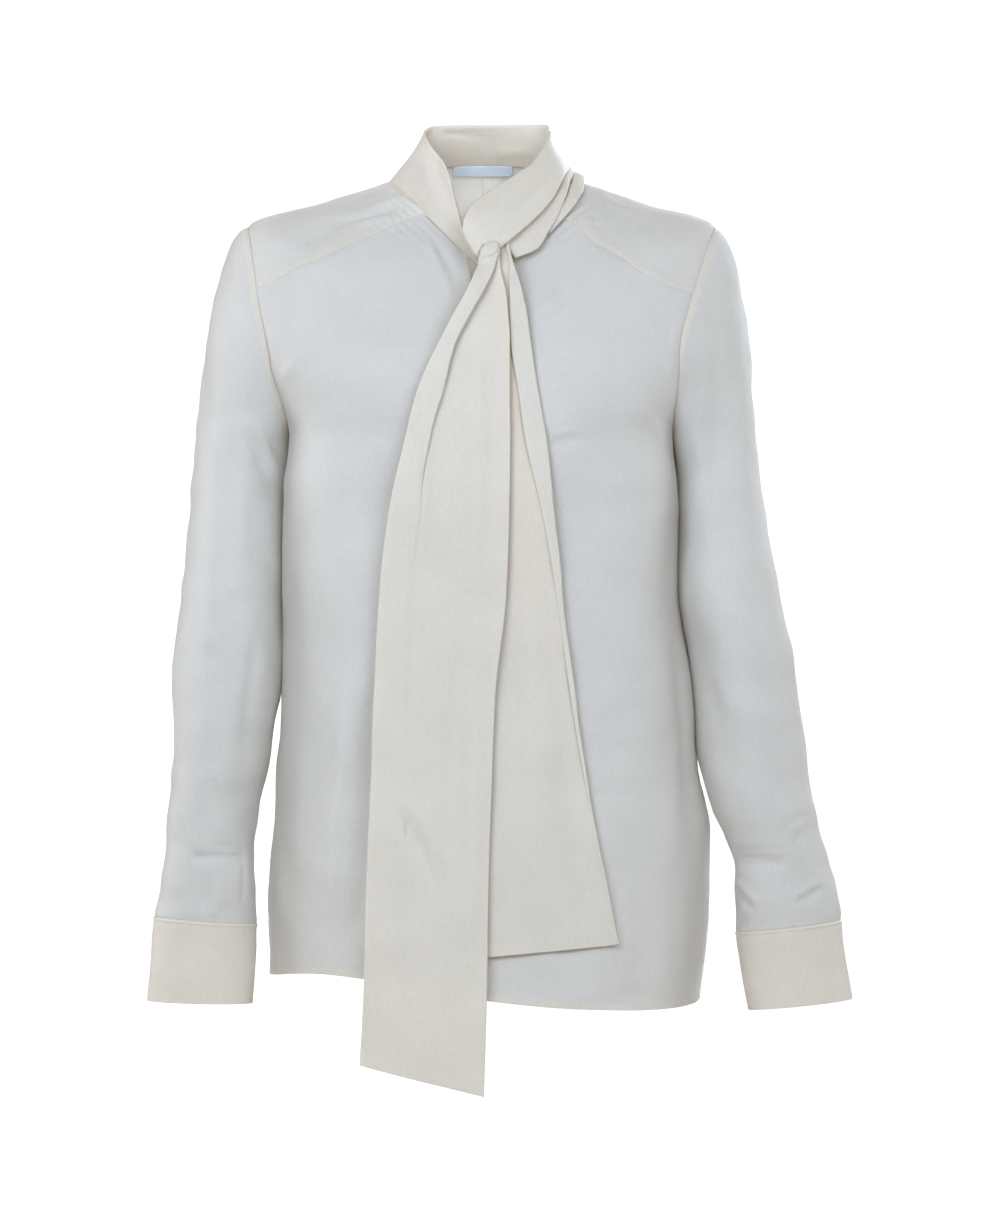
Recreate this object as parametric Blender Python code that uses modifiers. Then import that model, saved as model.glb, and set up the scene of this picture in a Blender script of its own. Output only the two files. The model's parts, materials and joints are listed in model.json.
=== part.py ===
"""Silk blouse with a tie collar, in the hollow form that it has when worn.

Metres, +Z up. The front faces -Y, so the wearer's right is at -X. The origin lies at the base of
the neck, between the shoulder points where the blouse hangs. A turn is an angle round the body in
degrees, from the centre front towards +X. A level counts the body's rings from the neck down. A
bearing is an angle round an armhole or a sleeve in degrees, from its top towards the front.
"""

from collections import namedtuple

import bmesh
import bpy
import numpy as np

# Cloth and gaps
SINGLE_WALL = 0.0012
DOUBLE_WALL = 0.0016
LABEL_WALL = 0.0010
SEAM_GAP = 0.0003
FRONT_LAP_LIFT = 0.0020

# Mesh steps along each seam
NECK_STEPS = 3
YOKE_SEAM_STEPS = 9
BACK_NECK_STEPS = 7
CENTRE_BACK_STEPS = 3
ARM_FRONT_STEPS = 6
ARM_YOKE_STEPS = BACK_NECK_STEPS + CENTRE_BACK_STEPS
ARM_BACK_STEPS = 6
SIDE_STEPS = 12
BACK_STEPS = 2 * YOKE_SEAM_STEPS
FINE_STEPS = 240

# Rings of the body. Heights at the centre front, sides and centre back, half widths on the
# wearer's right and left, depths ahead of and behind the side line, squareness of the outline,
# and how evenly the front drops from the side to the centre.
Ring = namedtuple("Ring", "name front side back right left ahead behind square drop")
RINGS = [
    Ring("neck", -0.070, 0.004, 0.026, 0.0810, 0.0830, 0.072, 0.078, 2.0, 1.0),
    Ring("yoke", -0.088, -0.014, 0.002, 0.1390, 0.1380, 0.088, 0.095, 2.1, 1.3),
    Ring("shoulder", -0.108, -0.034, -0.034, 0.1980, 0.1970, 0.100, 0.108, 2.3, 1.7),
    Ring("chest", -0.135, -0.088, -0.090, 0.2050, 0.2030, 0.110, 0.118, 2.6, 2.0),
    Ring("armhole", -0.168, -0.148, -0.148, 0.1910, 0.1900, 0.118, 0.121, 2.8, 2.0),
    Ring("underarm", -0.215, -0.215, -0.215, 0.1630, 0.1610, 0.124, 0.116, 2.5, 2.0),
    Ring("bust", -0.260, -0.260, -0.260, 0.1640, 0.1615, 0.127, 0.113, 2.4, 2.0),
    Ring("ribs", -0.340, -0.340, -0.340, 0.1645, 0.1620, 0.124, 0.109, 2.4, 2.0),
    Ring("waist", -0.420, -0.420, -0.420, 0.1665, 0.1720, 0.122, 0.109, 2.4, 2.0),
    Ring("belly", -0.490, -0.490, -0.490, 0.1728, 0.1790, 0.122, 0.114, 2.4, 2.0),
    Ring("hip", -0.550, -0.550, -0.550, 0.1770, 0.1930, 0.124, 0.119, 2.4, 2.0),
    Ring("seat", -0.620, -0.620, -0.620, 0.1810, 0.1920, 0.125, 0.123, 2.4, 2.0),
    Ring("below hem", -0.700, -0.700, -0.700, 0.1780, 0.1830, 0.128, 0.126, 2.4, 2.0),
]
SHOULDER = 2.0
CHEST = 3.0
UNDERARM = 5.0
SEAT = 11.0
BACK_DROP = 3.0
BACK_YOKE_LEVEL = 3.15

# Search for the front's depth under the tails
DEPTH_TRIES = 40
DEPTH_PACE = 0.7
TINY_TURN = 0.01
TINY_LEVEL = 0.001

# Spans over which the surface's outward direction is measured
OUT_TURN = 0.5
OUT_LEVEL = 0.01

# Height of the finished hem at each turn, all the way round
HemPoint = namedtuple("HemPoint", "turn height")
HEM = [
    HemPoint(-92, -0.667),
    HemPoint(-70, -0.664),
    HemPoint(-45, -0.660),
    HemPoint(-25, -0.666),
    HemPoint(-5, -0.679),
    HemPoint(6, -0.684),
    HemPoint(25, -0.6895),
    HemPoint(45, -0.692),
    HemPoint(84, -0.689),
    HemPoint(135, -0.686),
    HemPoint(180, -0.681),
    HemPoint(225, -0.673),
    HemPoint(268, -0.667),
]

# The two halves. Seams run through (turn, level) stops whose turns count from the centre front
# towards that half's own side. The reaches are how far the armhole runs ahead and behind the side.
Half = namedtuple("Half", "name sign yoke_seam edge side_seam reach_ahead reach_behind lap_lift")
RIGHT = Half(
    "right",
    -1,
    [(36, 0.0), (39, 0.5), (41, 1.3), (42, 1.85), (46, 2.2), (52, 2.55)],
    [(8, 0.0), (6, 2.0), (1, 4.0), (-0.5, 6.0), (-0.5, SEAT)],
    [(90, UNDERARM), (91, 8.0), (92, SEAT)],
    33,
    30,
    FRONT_LAP_LIFT,
)
LEFT = Half(
    "left",
    1,
    [(38, 0.0), (41, 0.6), (38, 1.3), (38, 1.85), (43, 2.4)],
    [(4, 0.0), (2, 2.0), (-4, 4.0), (-6, 6.0), (-6, SEAT)],
    [(90, UNDERARM), (87, 8.0), (83, 10.0), (84, SEAT)],
    40,
    30,
    0.0,
)
YOKE_FRONT_BEARING = 64
YOKE_BACK_BEARING = -70
LAP_START = 18
LAP_FULL = 8

# Rings of the sleeves and cuffs. Height at the middle, distance of the middle from the body's
# centre plane, width from side to side, depth from front to back, how far behind the side line
# the middle lies, and how much higher the outer side is than the inner.
SleeveRing = namedtuple("SleeveRing", "height centre width depth behind tilt")
SLEEVES = {
    "right": [
        SleeveRing(-0.260, 0.2070, 0.0810, 0.116, -0.002, 0.000),
        SleeveRing(-0.300, 0.2085, 0.0830, 0.114, -0.018, 0.000),
        SleeveRing(-0.351, 0.2105, 0.0870, 0.110, -0.030, 0.000),
        SleeveRing(-0.411, 0.2140, 0.0910, 0.104, -0.036, 0.000),
        SleeveRing(-0.485, 0.2200, 0.0820, 0.094, -0.039, 0.000),
        SleeveRing(-0.526, 0.2257, 0.0740, 0.082, -0.041, 0.000),
        SleeveRing(-0.555, 0.2280, 0.0730, 0.074, -0.042, 0.000),
        SleeveRing(-0.582, 0.2300, 0.0800, 0.068, -0.043, 0.002),
        SleeveRing(-0.620, 0.2325, 0.0855, 0.060, -0.044, 0.006),
        SleeveRing(-0.689, 0.2370, 0.0880, 0.052, -0.046, 0.002),
    ],
    "left": [
        SleeveRing(-0.260, 0.2010, 0.0745, 0.116, -0.002, 0.000),
        SleeveRing(-0.300, 0.2040, 0.0790, 0.114, -0.018, 0.000),
        SleeveRing(-0.346, 0.2078, 0.0880, 0.111, -0.030, 0.000),
        SleeveRing(-0.398, 0.2185, 0.0865, 0.106, -0.036, 0.000),
        SleeveRing(-0.424, 0.2220, 0.0885, 0.102, -0.037, 0.000),
        SleeveRing(-0.476, 0.2272, 0.0910, 0.094, -0.039, 0.000),
        SleeveRing(-0.527, 0.2370, 0.0870, 0.082, -0.041, 0.000),
        SleeveRing(-0.549, 0.2440, 0.0795, 0.076, -0.042, 0.000),
        SleeveRing(-0.570, 0.2518, 0.0790, 0.071, -0.042, 0.002),
        SleeveRing(-0.592, 0.2555, 0.0850, 0.066, -0.043, 0.006),
        SleeveRing(-0.625, 0.2580, 0.0875, 0.060, -0.044, 0.010),
        SleeveRing(-0.691, 0.2677, 0.0870, 0.052, -0.046, 0.009),
    ],
}
CAP_STEPS = 7
TUBE_STEPS = 10
CUFF_STEPS = 2
CAP_TOP_WAY = (1.0, 0.0, -0.5)
CAP_BOTTOM_WAY = (0.25, 0.0, -1.0)
CAP_LEAVE = 0.48
CAP_ARRIVE = 1.08
CAP_GAP_TOP = 0.0008
CAP_GAP_BOTTOM = 0.0019

# Upper edge of the standing collar above each turn of the neck seam. It starts at the knot, runs
# round the wearer's right side and the back, and ends at the wearer's left side.
CollarPoint = namedtuple("CollarPoint", "turn x y z")
COLLAR = [
    CollarPoint(-10, -0.0154, -0.086, -0.0455),
    CollarPoint(-24, -0.0223, -0.079, -0.0247),
    CollarPoint(-36, -0.0265, -0.062, -0.0060),
    CollarPoint(-48, -0.0335, -0.036, 0.0150),
    CollarPoint(-66, -0.0442, -0.004, 0.0360),
    CollarPoint(-92, -0.0492, 0.030, 0.0500),
    CollarPoint(-125, -0.0430, 0.048, 0.0570),
    CollarPoint(-155, -0.0200, 0.054, 0.0585),
    CollarPoint(-180, 0.0020, 0.055, 0.0586),
    CollarPoint(-205, 0.0240, 0.054, 0.0586),
    CollarPoint(-235, 0.0490, 0.047, 0.0585),
    CollarPoint(-262, 0.0570, 0.030, 0.0550),
    CollarPoint(-275, 0.0555, 0.014, 0.0430),
]
COLLAR_STEPS = 28
COLLAR_RISE_STEPS = 3
COLLAR_SEAT = 0.0017
COLLAR_ROUNDNESS = -0.0025

# The collar and the strips bulge away from this point, except near where they join
NECK_MIDDLE = (0, 0.01, 0)
JOIN_SHARE = 0.2

# Stretches of the tie at the neck, from the wearer's left shoulder to the knot: upper edge and
# lower edge of each
StripPoint = namedtuple("StripPoint", "upper_x upper_y upper_z lower_x lower_y lower_z")
SWATH = [
    StripPoint(0.0553, 0.0132, 0.0424, 0.0824, -0.0078, 0.0058),
    StripPoint(0.0500, -0.0120, 0.0275, 0.0735, -0.0290, 0.0080),
    StripPoint(0.0423, -0.0290, 0.0165, 0.0685, -0.0460, 0.0020),
    StripPoint(0.0304, -0.0490, 0.0067, 0.0623, -0.0620, -0.0125),
    StripPoint(0.0153, -0.0640, -0.0039, 0.0512, -0.0750, -0.0258),
    StripPoint(0.0003, -0.0770, -0.0151, 0.0377, -0.0870, -0.0396),
    StripPoint(-0.0113, -0.0870, -0.0268, 0.0244, -0.0960, -0.0519),
    StripPoint(-0.0154, -0.0940, -0.0427, 0.0130, -0.0990, -0.0620),
    StripPoint(-0.0070, -0.0970, -0.0630, 0.0000, -0.0985, -0.0705),
]
FOLD_MIDDLE = [
    StripPoint(0.0700, -0.0280, 0.0030, 0.0775, -0.0310, 0.0040),
    StripPoint(0.0640, -0.0460, -0.0075, 0.0716, -0.0500, -0.0095),
    StripPoint(0.0531, -0.0630, -0.0200, 0.0634, -0.0660, -0.0293),
    StripPoint(0.0429, -0.0740, -0.0320, 0.0562, -0.0760, -0.0431),
    StripPoint(0.0320, -0.0830, -0.0430, 0.0464, -0.0840, -0.0585),
    StripPoint(0.0178, -0.0900, -0.0560, 0.0275, -0.0920, -0.0675),
]
FOLD_OUTER = [
    StripPoint(0.0830, -0.0160, 0.0050, 0.0872, -0.0180, 0.0045),
    StripPoint(0.0740, -0.0440, -0.0110, 0.0815, -0.0500, -0.0142),
    StripPoint(0.0650, -0.0590, -0.0240, 0.0713, -0.0620, -0.0280),
    StripPoint(0.0540, -0.0705, -0.0400, 0.0562, -0.0730, -0.0460),
]
STRIP_STEPS = 10
STRIP_CROSS_STEPS = 4
FOLD_CROSS_STEPS = 2
SWATH_ROUNDNESS = 0.005
FOLD_ROUNDNESS = 0.001

KNOT_CENTRE = (0.0078, -0.1098, -0.0570)
KNOT_RADII = (0.0088, 0.0080, 0.0068)
KNOT_TILT = -0.2
KNOT_SIDES = 14
KNOT_BANDS = 8

# Tails of the tie: left and right edges as the viewer sees them, the fold line between them, how
# far the cloth is tucked back under that fold, and how far it stands off the front.
TailPoint = namedtuple("TailPoint", "left_x left_z right_x right_z fold_x tuck off")
TAIL_LONG = [
    TailPoint(0.0008, -0.0658, 0.0145, -0.0636, 0.0130, 0.006, 0.0330),
    TailPoint(-0.0128, -0.0970, 0.0199, -0.0950, -0.0004, 0.010, 0.0215),
    TailPoint(-0.0332, -0.1350, 0.0235, -0.1350, -0.0197, 0.010, 0.0160),
    TailPoint(-0.0522, -0.1770, 0.0235, -0.1770, -0.0316, 0.007, 0.0135),
    TailPoint(-0.0635, -0.2210, 0.0239, -0.2210, -0.0424, 0.003, 0.0125),
    TailPoint(-0.0767, -0.2820, 0.0231, -0.2820, -0.0520, 0.001, 0.0120),
    TailPoint(-0.0841, -0.3470, 0.0207, -0.3470, -0.0570, 0.000, 0.0120),
    TailPoint(-0.0887, -0.4320, 0.0116, -0.4320, -0.0600, 0.000, 0.0120),
    TailPoint(-0.0915, -0.5120, 0.0083, -0.5150, -0.0620, 0.000, 0.0120),
    TailPoint(-0.0948, -0.5880, 0.0059, -0.5920, -0.0640, 0.000, 0.0120),
    TailPoint(-0.0964, -0.6590, 0.0048, -0.6700, -0.0650, 0.000, 0.0120),
    TailPoint(-0.1005, -0.7350, 0.0022, -0.7596, -0.0680, 0.000, 0.0120),
]
TAIL_SHORT = [
    TailPoint(0.0095, -0.0700, 0.0258, -0.0700, 0.0220, 0.002, 0.0235),
    TailPoint(0.0060, -0.0970, 0.0343, -0.0970, 0.0230, 0.004, 0.0130),
    TailPoint(0.0030, -0.1350, 0.0401, -0.1350, 0.0240, 0.004, 0.0085),
    TailPoint(0.0010, -0.1770, 0.0462, -0.1770, 0.0300, 0.004, 0.0070),
    TailPoint(0.0000, -0.2190, 0.0528, -0.2190, 0.0360, 0.004, 0.0065),
    TailPoint(-0.0010, -0.2720, 0.0593, -0.2720, 0.0480, 0.003, 0.0065),
    TailPoint(-0.0010, -0.3190, 0.0640, -0.3190, 0.0570, 0.002, 0.0065),
    TailPoint(-0.0010, -0.3660, 0.0687, -0.3660, 0.0640, 0.001, 0.0065),
    TailPoint(0.0000, -0.4700, 0.0818, -0.4700, 0.0770, 0.000, 0.0065),
    TailPoint(0.0010, -0.5600, 0.0975, -0.5580, 0.0900, 0.000, 0.0065),
    TailPoint(0.0030, -0.6460, 0.1140, -0.6360, 0.1050, 0.000, 0.0065),
]
TAIL_STEPS = 16
FOLD_THICKNESS = 0.0030
FOLD_TURN = 0.0010
TAIL_FRONT_STEPS = 3
TAIL_BACK_STEPS = 4

LABEL_HALF_WIDTH = 0.0265
LABEL_LEVELS = (-0.02, 0.34)
LABEL_DEPTH = 0.0030
LABEL_STEPS = 4
LABEL_FALL_STEPS = 2

BLOUSE = bpy.data.collections.new("silk_blouse")


def smooth(keys, values, at):
    """Values at some keys, on a smooth curve through the given ones that never overshoots."""
    keys = np.asarray(keys, float)
    values = np.asarray(values, float)
    step = np.diff(keys)
    rise = np.diff(values) / step
    same_way = rise[:-1] * rise[1:] > 0
    total = np.where(same_way, rise[:-1] + rise[1:], 1)
    middle = np.where(same_way, 2 * rise[:-1] * rise[1:] / total, 0)
    slope = np.concatenate([rise[:1], middle, rise[-1:]])
    at = np.asarray(at, float)
    place = np.clip(np.searchsorted(keys, at, side="right") - 1, 0, len(keys) - 2)
    part = (at - keys[place]) / step[place]
    ease = part**2 * (3 - 2 * part)
    bend = part * (1 - part) * step[place]
    turn_out = bend * ((1 - part) * slope[place] - part * slope[place + 1])
    return (1 - ease) * values[place] + ease * values[place + 1] + turn_out


def along_rows(rows, part):
    """A table's numbers at some parts of the way down it, with a named column for each."""
    at = np.asarray(part, float) * (len(rows) - 1)
    keys = range(len(rows))
    return type(rows[0])(*[smooth(keys, column, at) for column in zip(*rows)])


def ring_column(name, level):
    return smooth(range(len(RINGS)), [getattr(ring, name) for ring in RINGS], level)


def body(turn, level):
    """Points on the body's surface at some turns and levels."""
    sine = np.sin(np.radians(turn))
    cosine = np.cos(np.radians(turn))
    square = ring_column("square", level)
    reach = (abs(sine) ** square + abs(cosine) ** square) ** (-1 / square)
    half = np.where(sine < 0, ring_column("right", level), ring_column("left", level))
    depth = np.where(cosine > 0, ring_column("ahead", level), ring_column("behind", level))
    end = np.where(cosine > 0, ring_column("front", level), ring_column("back", level))
    drop = np.where(cosine > 0, ring_column("drop", level), BACK_DROP)
    side = ring_column("side", level)
    height = side + (end - side) * (1 - abs(sine) ** drop)
    return np.stack([half * reach * sine, -depth * reach * cosine, height], axis=-1)


def body_out(turn, level):
    """Directions straight out of the body's surface."""
    across = body(turn + OUT_TURN, level) - body(turn - OUT_TURN, level)
    down = body(turn, level + OUT_LEVEL) - body(turn, level - OUT_LEVEL)
    out = np.cross(down, across)
    return out / np.linalg.norm(out, axis=-1, keepdims=True)


def front_depth(x, z):
    """How far ahead of the side line the front's surface lies at some x and z."""
    fronts = [-ring.front for ring in RINGS]
    level = np.interp(-z, fronts, range(len(RINGS)))
    turn = np.degrees(np.arcsin(x / RINGS[int(CHEST)].right))
    for _ in range(DEPTH_TRIES):
        here = body(turn, level)
        across = (body(turn + TINY_TURN, level) - here) / TINY_TURN
        down = (here - body(turn, level - TINY_LEVEL)) / TINY_LEVEL
        gap_x = x - here[..., 0]
        gap_z = np.maximum(z, RINGS[-1].front) - here[..., 2]
        scale = across[..., 0] * down[..., 2] - across[..., 2] * down[..., 0]
        turn = turn + DEPTH_PACE * (gap_x * down[..., 2] - gap_z * down[..., 0]) / scale
        level = level + DEPTH_PACE * (across[..., 0] * gap_z - across[..., 2] * gap_x) / scale
        level = np.clip(level, 2 * TINY_LEVEL, len(RINGS) - 1)
    return -body(turn, level)[..., 1]


def hem_level(turn):
    """The level at which the body reaches the hem's height."""
    height = smooth([point.turn for point in HEM], [point.height for point in HEM], turn)
    seat, below = RINGS[-2:]
    return SEAT + (seat.side - height) / (seat.side - below.side)


def even_steps(stops, steps):
    """Turns and levels at even steps along a smooth seam through some (turn, level) stops."""
    stops = np.asarray(stops, float)
    keys = range(len(stops))
    fine = np.linspace(0, len(stops) - 1, FINE_STEPS)
    line = np.stack([smooth(keys, stops[:, 0], fine), smooth(keys, stops[:, 1], fine)], axis=-1)
    pace = np.linalg.norm(np.diff(body(line[:, 0], line[:, 1]), axis=0), axis=1)
    length = np.concatenate([[0], np.cumsum(pace)])
    even = np.linspace(0, length[-1], steps + 1)
    return np.stack([np.interp(even, length, line[:, axis]) for axis in (0, 1)], axis=-1)


def joined(*seams):
    """One seam out of several that meet end to end."""
    return np.concatenate([seams[0]] + [seam[1:] for seam in seams[1:]])


def on_side(half, stops):
    return [(half.sign * turn, level) for turn, level in stops]


def armhole(half, bearing):
    """Turns and levels of an armhole at some bearings."""
    sine = np.sin(np.radians(bearing))
    reach = np.where(sine > 0, half.reach_ahead, half.reach_behind)
    level = SHOULDER + (UNDERARM - SHOULDER) * (1 - np.cos(np.radians(bearing))) / 2
    return np.stack([half.sign * (90 - reach * sine), level], axis=-1)


def armhole_bearings(half, start, end, steps):
    """Bearings at even steps along a stretch of an armhole."""
    fine = np.linspace(start, end, FINE_STEPS)
    turn, level = armhole(half, fine).T
    pace = np.linalg.norm(np.diff(body(turn, level), axis=0), axis=1)
    length = np.concatenate([[0], np.cumsum(pace)])
    return np.interp(np.linspace(0, length[-1], steps + 1), length, fine)


def armhole_stretches(half):
    """Bearings of an armhole's back, yoke and front stretches, from underarm to underarm."""
    return (
        armhole_bearings(half, -180, YOKE_BACK_BEARING, ARM_BACK_STEPS),
        armhole_bearings(half, YOKE_BACK_BEARING, YOKE_FRONT_BEARING, ARM_YOKE_STEPS),
        armhole_bearings(half, YOKE_FRONT_BEARING, 180, ARM_FRONT_STEPS),
    )


def yoke_seam(half):
    corner = tuple(armhole(half, YOKE_FRONT_BEARING))
    return even_steps(on_side(half, half.yoke_seam) + [corner], YOKE_SEAM_STEPS)


def back_yoke_seam(half):
    corner = armhole(half, YOKE_BACK_BEARING)
    return even_steps([tuple(corner), (half.sign * 180, BACK_YOKE_LEVEL)], YOKE_SEAM_STEPS)


def side_seam(half):
    stops = on_side(half, half.side_seam)
    turn = stops[-1][0]
    return even_steps(stops + [(turn, hem_level(turn))], SIDE_STEPS)


def hem(start, end, steps):
    turn = np.linspace(start, end, steps + 1)
    return np.stack([turn, hem_level(turn)], axis=-1)


def fill(top, bottom, start, end):
    """A grid of turns and levels between four seams, as in a Coons patch."""
    across = np.linspace(0, 1, len(top))[None, :, None]
    down = np.linspace(0, 1, len(start))[:, None, None]
    ruled = (1 - down) * top[None] + down * bottom[None]
    ruled = ruled + (1 - across) * start[:, None] + across * end[:, None]
    corners = (1 - across) * top[0] + across * top[-1]
    corners = (1 - down) * corners + down * ((1 - across) * bottom[0] + across * bottom[-1])
    return ruled - corners


def drawn_in(points, distance):
    """A grid whose outer rows and columns are drawn in, to leave a gap at a seam."""
    points = points.copy()
    inner = points.copy()
    inner[0] = inner[1]
    inner[-1] = inner[-2]
    inner[:, 0] = inner[:, 1]
    inner[:, -1] = inner[:, -2]
    way = inner - points
    length = np.linalg.norm(way, axis=-1, keepdims=True)
    return points + way * np.where(length > 0, distance / np.maximum(length, 1e-9), 0)


def panel(places, lift=0.0):
    """A panel's points on the body's surface, with half a seam gap left all round."""
    turn = places[..., 0]
    level = places[..., 1]
    points = body(turn, level) + body_out(turn, level) * np.asarray(lift)[..., None]
    return drawn_in(points, SEAM_GAP / 2)


def material(name, colour, roughness):
    cloth = bpy.data.materials.new(name)
    cloth.use_nodes = True
    shader = cloth.node_tree.nodes["Principled BSDF"]
    shader.inputs["Base Color"].default_value = (*colour, 1)
    shader.inputs["Roughness"].default_value = roughness
    shader.inputs["Metallic"].default_value = 0
    return cloth


def add_object(name, mesh, finish):
    obj = bpy.data.objects.new(name, mesh)
    obj.data.materials.append(finish)
    obj.data.shade_smooth()
    BLOUSE.objects.link(obj)
    return obj


def add_cloth(name, points, wall, finish):
    """A wall of cloth along a grid of points. A grid whose ends meet becomes a tube."""
    rows, columns = points.shape[:2]
    grid = bmesh.new()
    bmesh.ops.create_grid(grid, x_segments=columns - 1, y_segments=rows - 1, size=1)
    for vertex in grid.verts:
        row = round((vertex.co.y + 1) / 2 * (rows - 1))
        column = round((vertex.co.x + 1) / 2 * (columns - 1))
        vertex.co = points[row, column]
    bmesh.ops.remove_doubles(grid, verts=grid.verts, dist=0.00001)
    mesh = bpy.data.meshes.new(name)
    grid.to_mesh(mesh)
    grid.free()
    obj = add_object(name, mesh, finish)
    shell = obj.modifiers.new("wall", "SOLIDIFY")
    shell.thickness = wall
    shell.offset = 0
    return obj


def add_front(half, finish):
    _, _, arm = armhole_stretches(half)
    outer = joined(armhole(half, arm), side_seam(half))
    neck_turn = half.yoke_seam[0][0]
    stops = on_side(half, half.edge)
    centre_turn = stops[-1][0]
    neck = even_steps([(half.sign * neck_turn, 0), stops[0]], NECK_STEPS)
    edge_steps = len(outer) - 1 - NECK_STEPS
    edge = even_steps(stops + [(centre_turn, hem_level(centre_turn))], edge_steps)
    bottom = hem(centre_turn, outer[-1, 0], YOKE_SEAM_STEPS)
    places = fill(yoke_seam(half), bottom, joined(neck, edge), outer)
    reach = half.sign * places[..., 0]
    lap = np.clip((LAP_START - reach) / (LAP_START - LAP_FULL), 0, 1)
    lap = lap * np.clip(places[..., 1], 0, 1)
    add_cloth(f"front_{half.name}", panel(places, half.lap_lift * lap), SINGLE_WALL, finish)


def add_back(finish):
    edges = []
    for half in (LEFT, RIGHT):
        arm, _, _ = armhole_stretches(half)
        edges.append(joined(armhole(half, arm[::-1]), side_seam(half)))
    full_turn = np.array([360, 0])
    left_edge = edges[0]
    right_edge = edges[1] + full_turn
    top = joined(back_yoke_seam(LEFT), (back_yoke_seam(RIGHT) + full_turn)[::-1])
    bottom = hem(left_edge[-1, 0], right_edge[-1, 0], BACK_STEPS)
    add_cloth("back", panel(fill(top, bottom, left_edge, right_edge)), SINGLE_WALL, finish)


def add_yoke(half, finish):
    _, arm, _ = armhole_stretches(half)
    neck_turn = half.yoke_seam[0][0]
    centre_turn = half.sign * 180
    neck = even_steps(on_side(half, [(neck_turn, 0), (180, 0)]), BACK_NECK_STEPS)
    spine = even_steps([(centre_turn, 0), (centre_turn, BACK_YOKE_LEVEL)], CENTRE_BACK_STEPS)
    front = yoke_seam(half)
    rear = back_yoke_seam(half)[::-1]
    places = fill(front, rear, joined(neck, spine), armhole(half, arm[::-1]))
    add_cloth(f"yoke_{half.name}", panel(places), SINGLE_WALL, finish)


def sleeve_points(half, height, bearing):
    """Points on a sleeve or cuff at some heights and bearings."""
    rings = SLEEVES[half.name]
    keys = [-ring.height for ring in rings]
    columns = {
        name: smooth(keys, [getattr(ring, name) for ring in rings], -height)
        for name in SleeveRing._fields
    }
    outward = np.cos(np.radians(bearing))
    x = half.sign * (columns["centre"] + columns["width"] / 2 * outward)
    y = columns["behind"] - columns["depth"] / 2 * np.sin(np.radians(bearing))
    z = columns["height"] + columns["tilt"] / 2 * outward
    return np.stack([x, y, z], axis=-1)


def cap_points(half, bearing, even_bearing, height):
    """The sleeve's cap, fanned out from the armhole to the first whole ring below it."""
    turn, level = armhole(half, bearing).T
    upper = ((1 + np.cos(np.radians(bearing))) / 2)[:, None]
    way = upper * np.array(CAP_TOP_WAY) + (1 - upper) * np.array(CAP_BOTTOM_WAY)
    way = way / np.linalg.norm(way, axis=-1, keepdims=True) * (half.sign, 1, 1)
    aside = upper * way + (1 - upper) * np.array((half.sign, 0, 0))
    gap = upper * CAP_GAP_TOP + (1 - upper) * CAP_GAP_BOTTOM
    start = body(turn, level) + aside * gap
    end = sleeve_points(half, height, even_bearing)
    onward = sleeve_points(half, height - 0.001, even_bearing) - end
    onward = onward / np.linalg.norm(onward, axis=-1, keepdims=True)
    span = np.linalg.norm(end - start, axis=-1, keepdims=True)
    part = np.linspace(0, 1, CAP_STEPS + 1)[:, None, None]
    ease = part**2 * (3 - 2 * part)
    leave = part * (1 - part) ** 2 * CAP_LEAVE * span * way
    arrive = part**2 * (part - 1) * CAP_ARRIVE * span * onward
    return (1 - ease) * start + ease * end + leave + arrive


def add_sleeve(half, finish, double_finish):
    bearing = joined(*armhole_stretches(half))
    even_bearing = np.linspace(-180, 180, len(bearing))
    rings = SLEEVES[half.name]
    first, cuff_top, cuff_bottom = rings[0].height, rings[-2].height, rings[-1].height
    cap = cap_points(half, bearing, even_bearing, first)
    heights = np.linspace(first, cuff_top, TUBE_STEPS + 1)[:, None]
    tube = sleeve_points(half, heights, even_bearing[None])
    add_cloth(f"sleeve_{half.name}", joined(cap, tube), SINGLE_WALL, finish)
    heights = np.linspace(cuff_top - 2 * SEAM_GAP, cuff_bottom, CUFF_STEPS + 1)[:, None]
    cuff = sleeve_points(half, heights, even_bearing[None])
    add_cloth(f"cuff_{half.name}", cuff, DOUBLE_WALL, double_finish)


def rounded_out(points, height, share):
    """A strip's points, with its middle pushed away from the neck by a height at each column."""
    part = np.linspace(0, 1, len(points))[:, None, None]
    across = np.gradient(points, axis=0)
    down = np.gradient(points, axis=1)
    out = np.cross(across, down)
    out = out / np.linalg.norm(out, axis=-1, keepdims=True)
    facing = np.sign(np.sum(out * (points - np.array(NECK_MIDDLE)), axis=-1, keepdims=True))
    height = height * np.clip(share / JOIN_SHARE, 0, 1)[None, :, None]
    return points + out * facing * height * np.sin(np.pi * part)


def add_collar(finish):
    along = np.linspace(0, 1, COLLAR_STEPS + 1)
    edge = along_rows(COLLAR, along)
    seam = body(edge.turn, 0.0) + (0, 0, COLLAR_SEAT)
    upper = np.stack([edge.x, edge.y, edge.z], axis=-1)
    part = np.linspace(0, 1, COLLAR_RISE_STEPS + 1)[:, None, None]
    points = rounded_out((1 - part) * seam + part * upper, COLLAR_ROUNDNESS, 1 - along)
    add_cloth("collar_band", points, DOUBLE_WALL, finish)


def add_strip(name, rows, cross_steps, roundness, finish):
    along = np.linspace(0, 1, STRIP_STEPS + 1)
    edge = along_rows(rows, along)
    upper = np.stack([edge.upper_x, edge.upper_y, edge.upper_z], axis=-1)
    lower = np.stack([edge.lower_x, edge.lower_y, edge.lower_z], axis=-1)
    part = np.linspace(0, 1, cross_steps + 1)[:, None, None]
    points = rounded_out((1 - part) * upper + part * lower, roundness, along)
    add_cloth(name, points, DOUBLE_WALL, finish)


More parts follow.
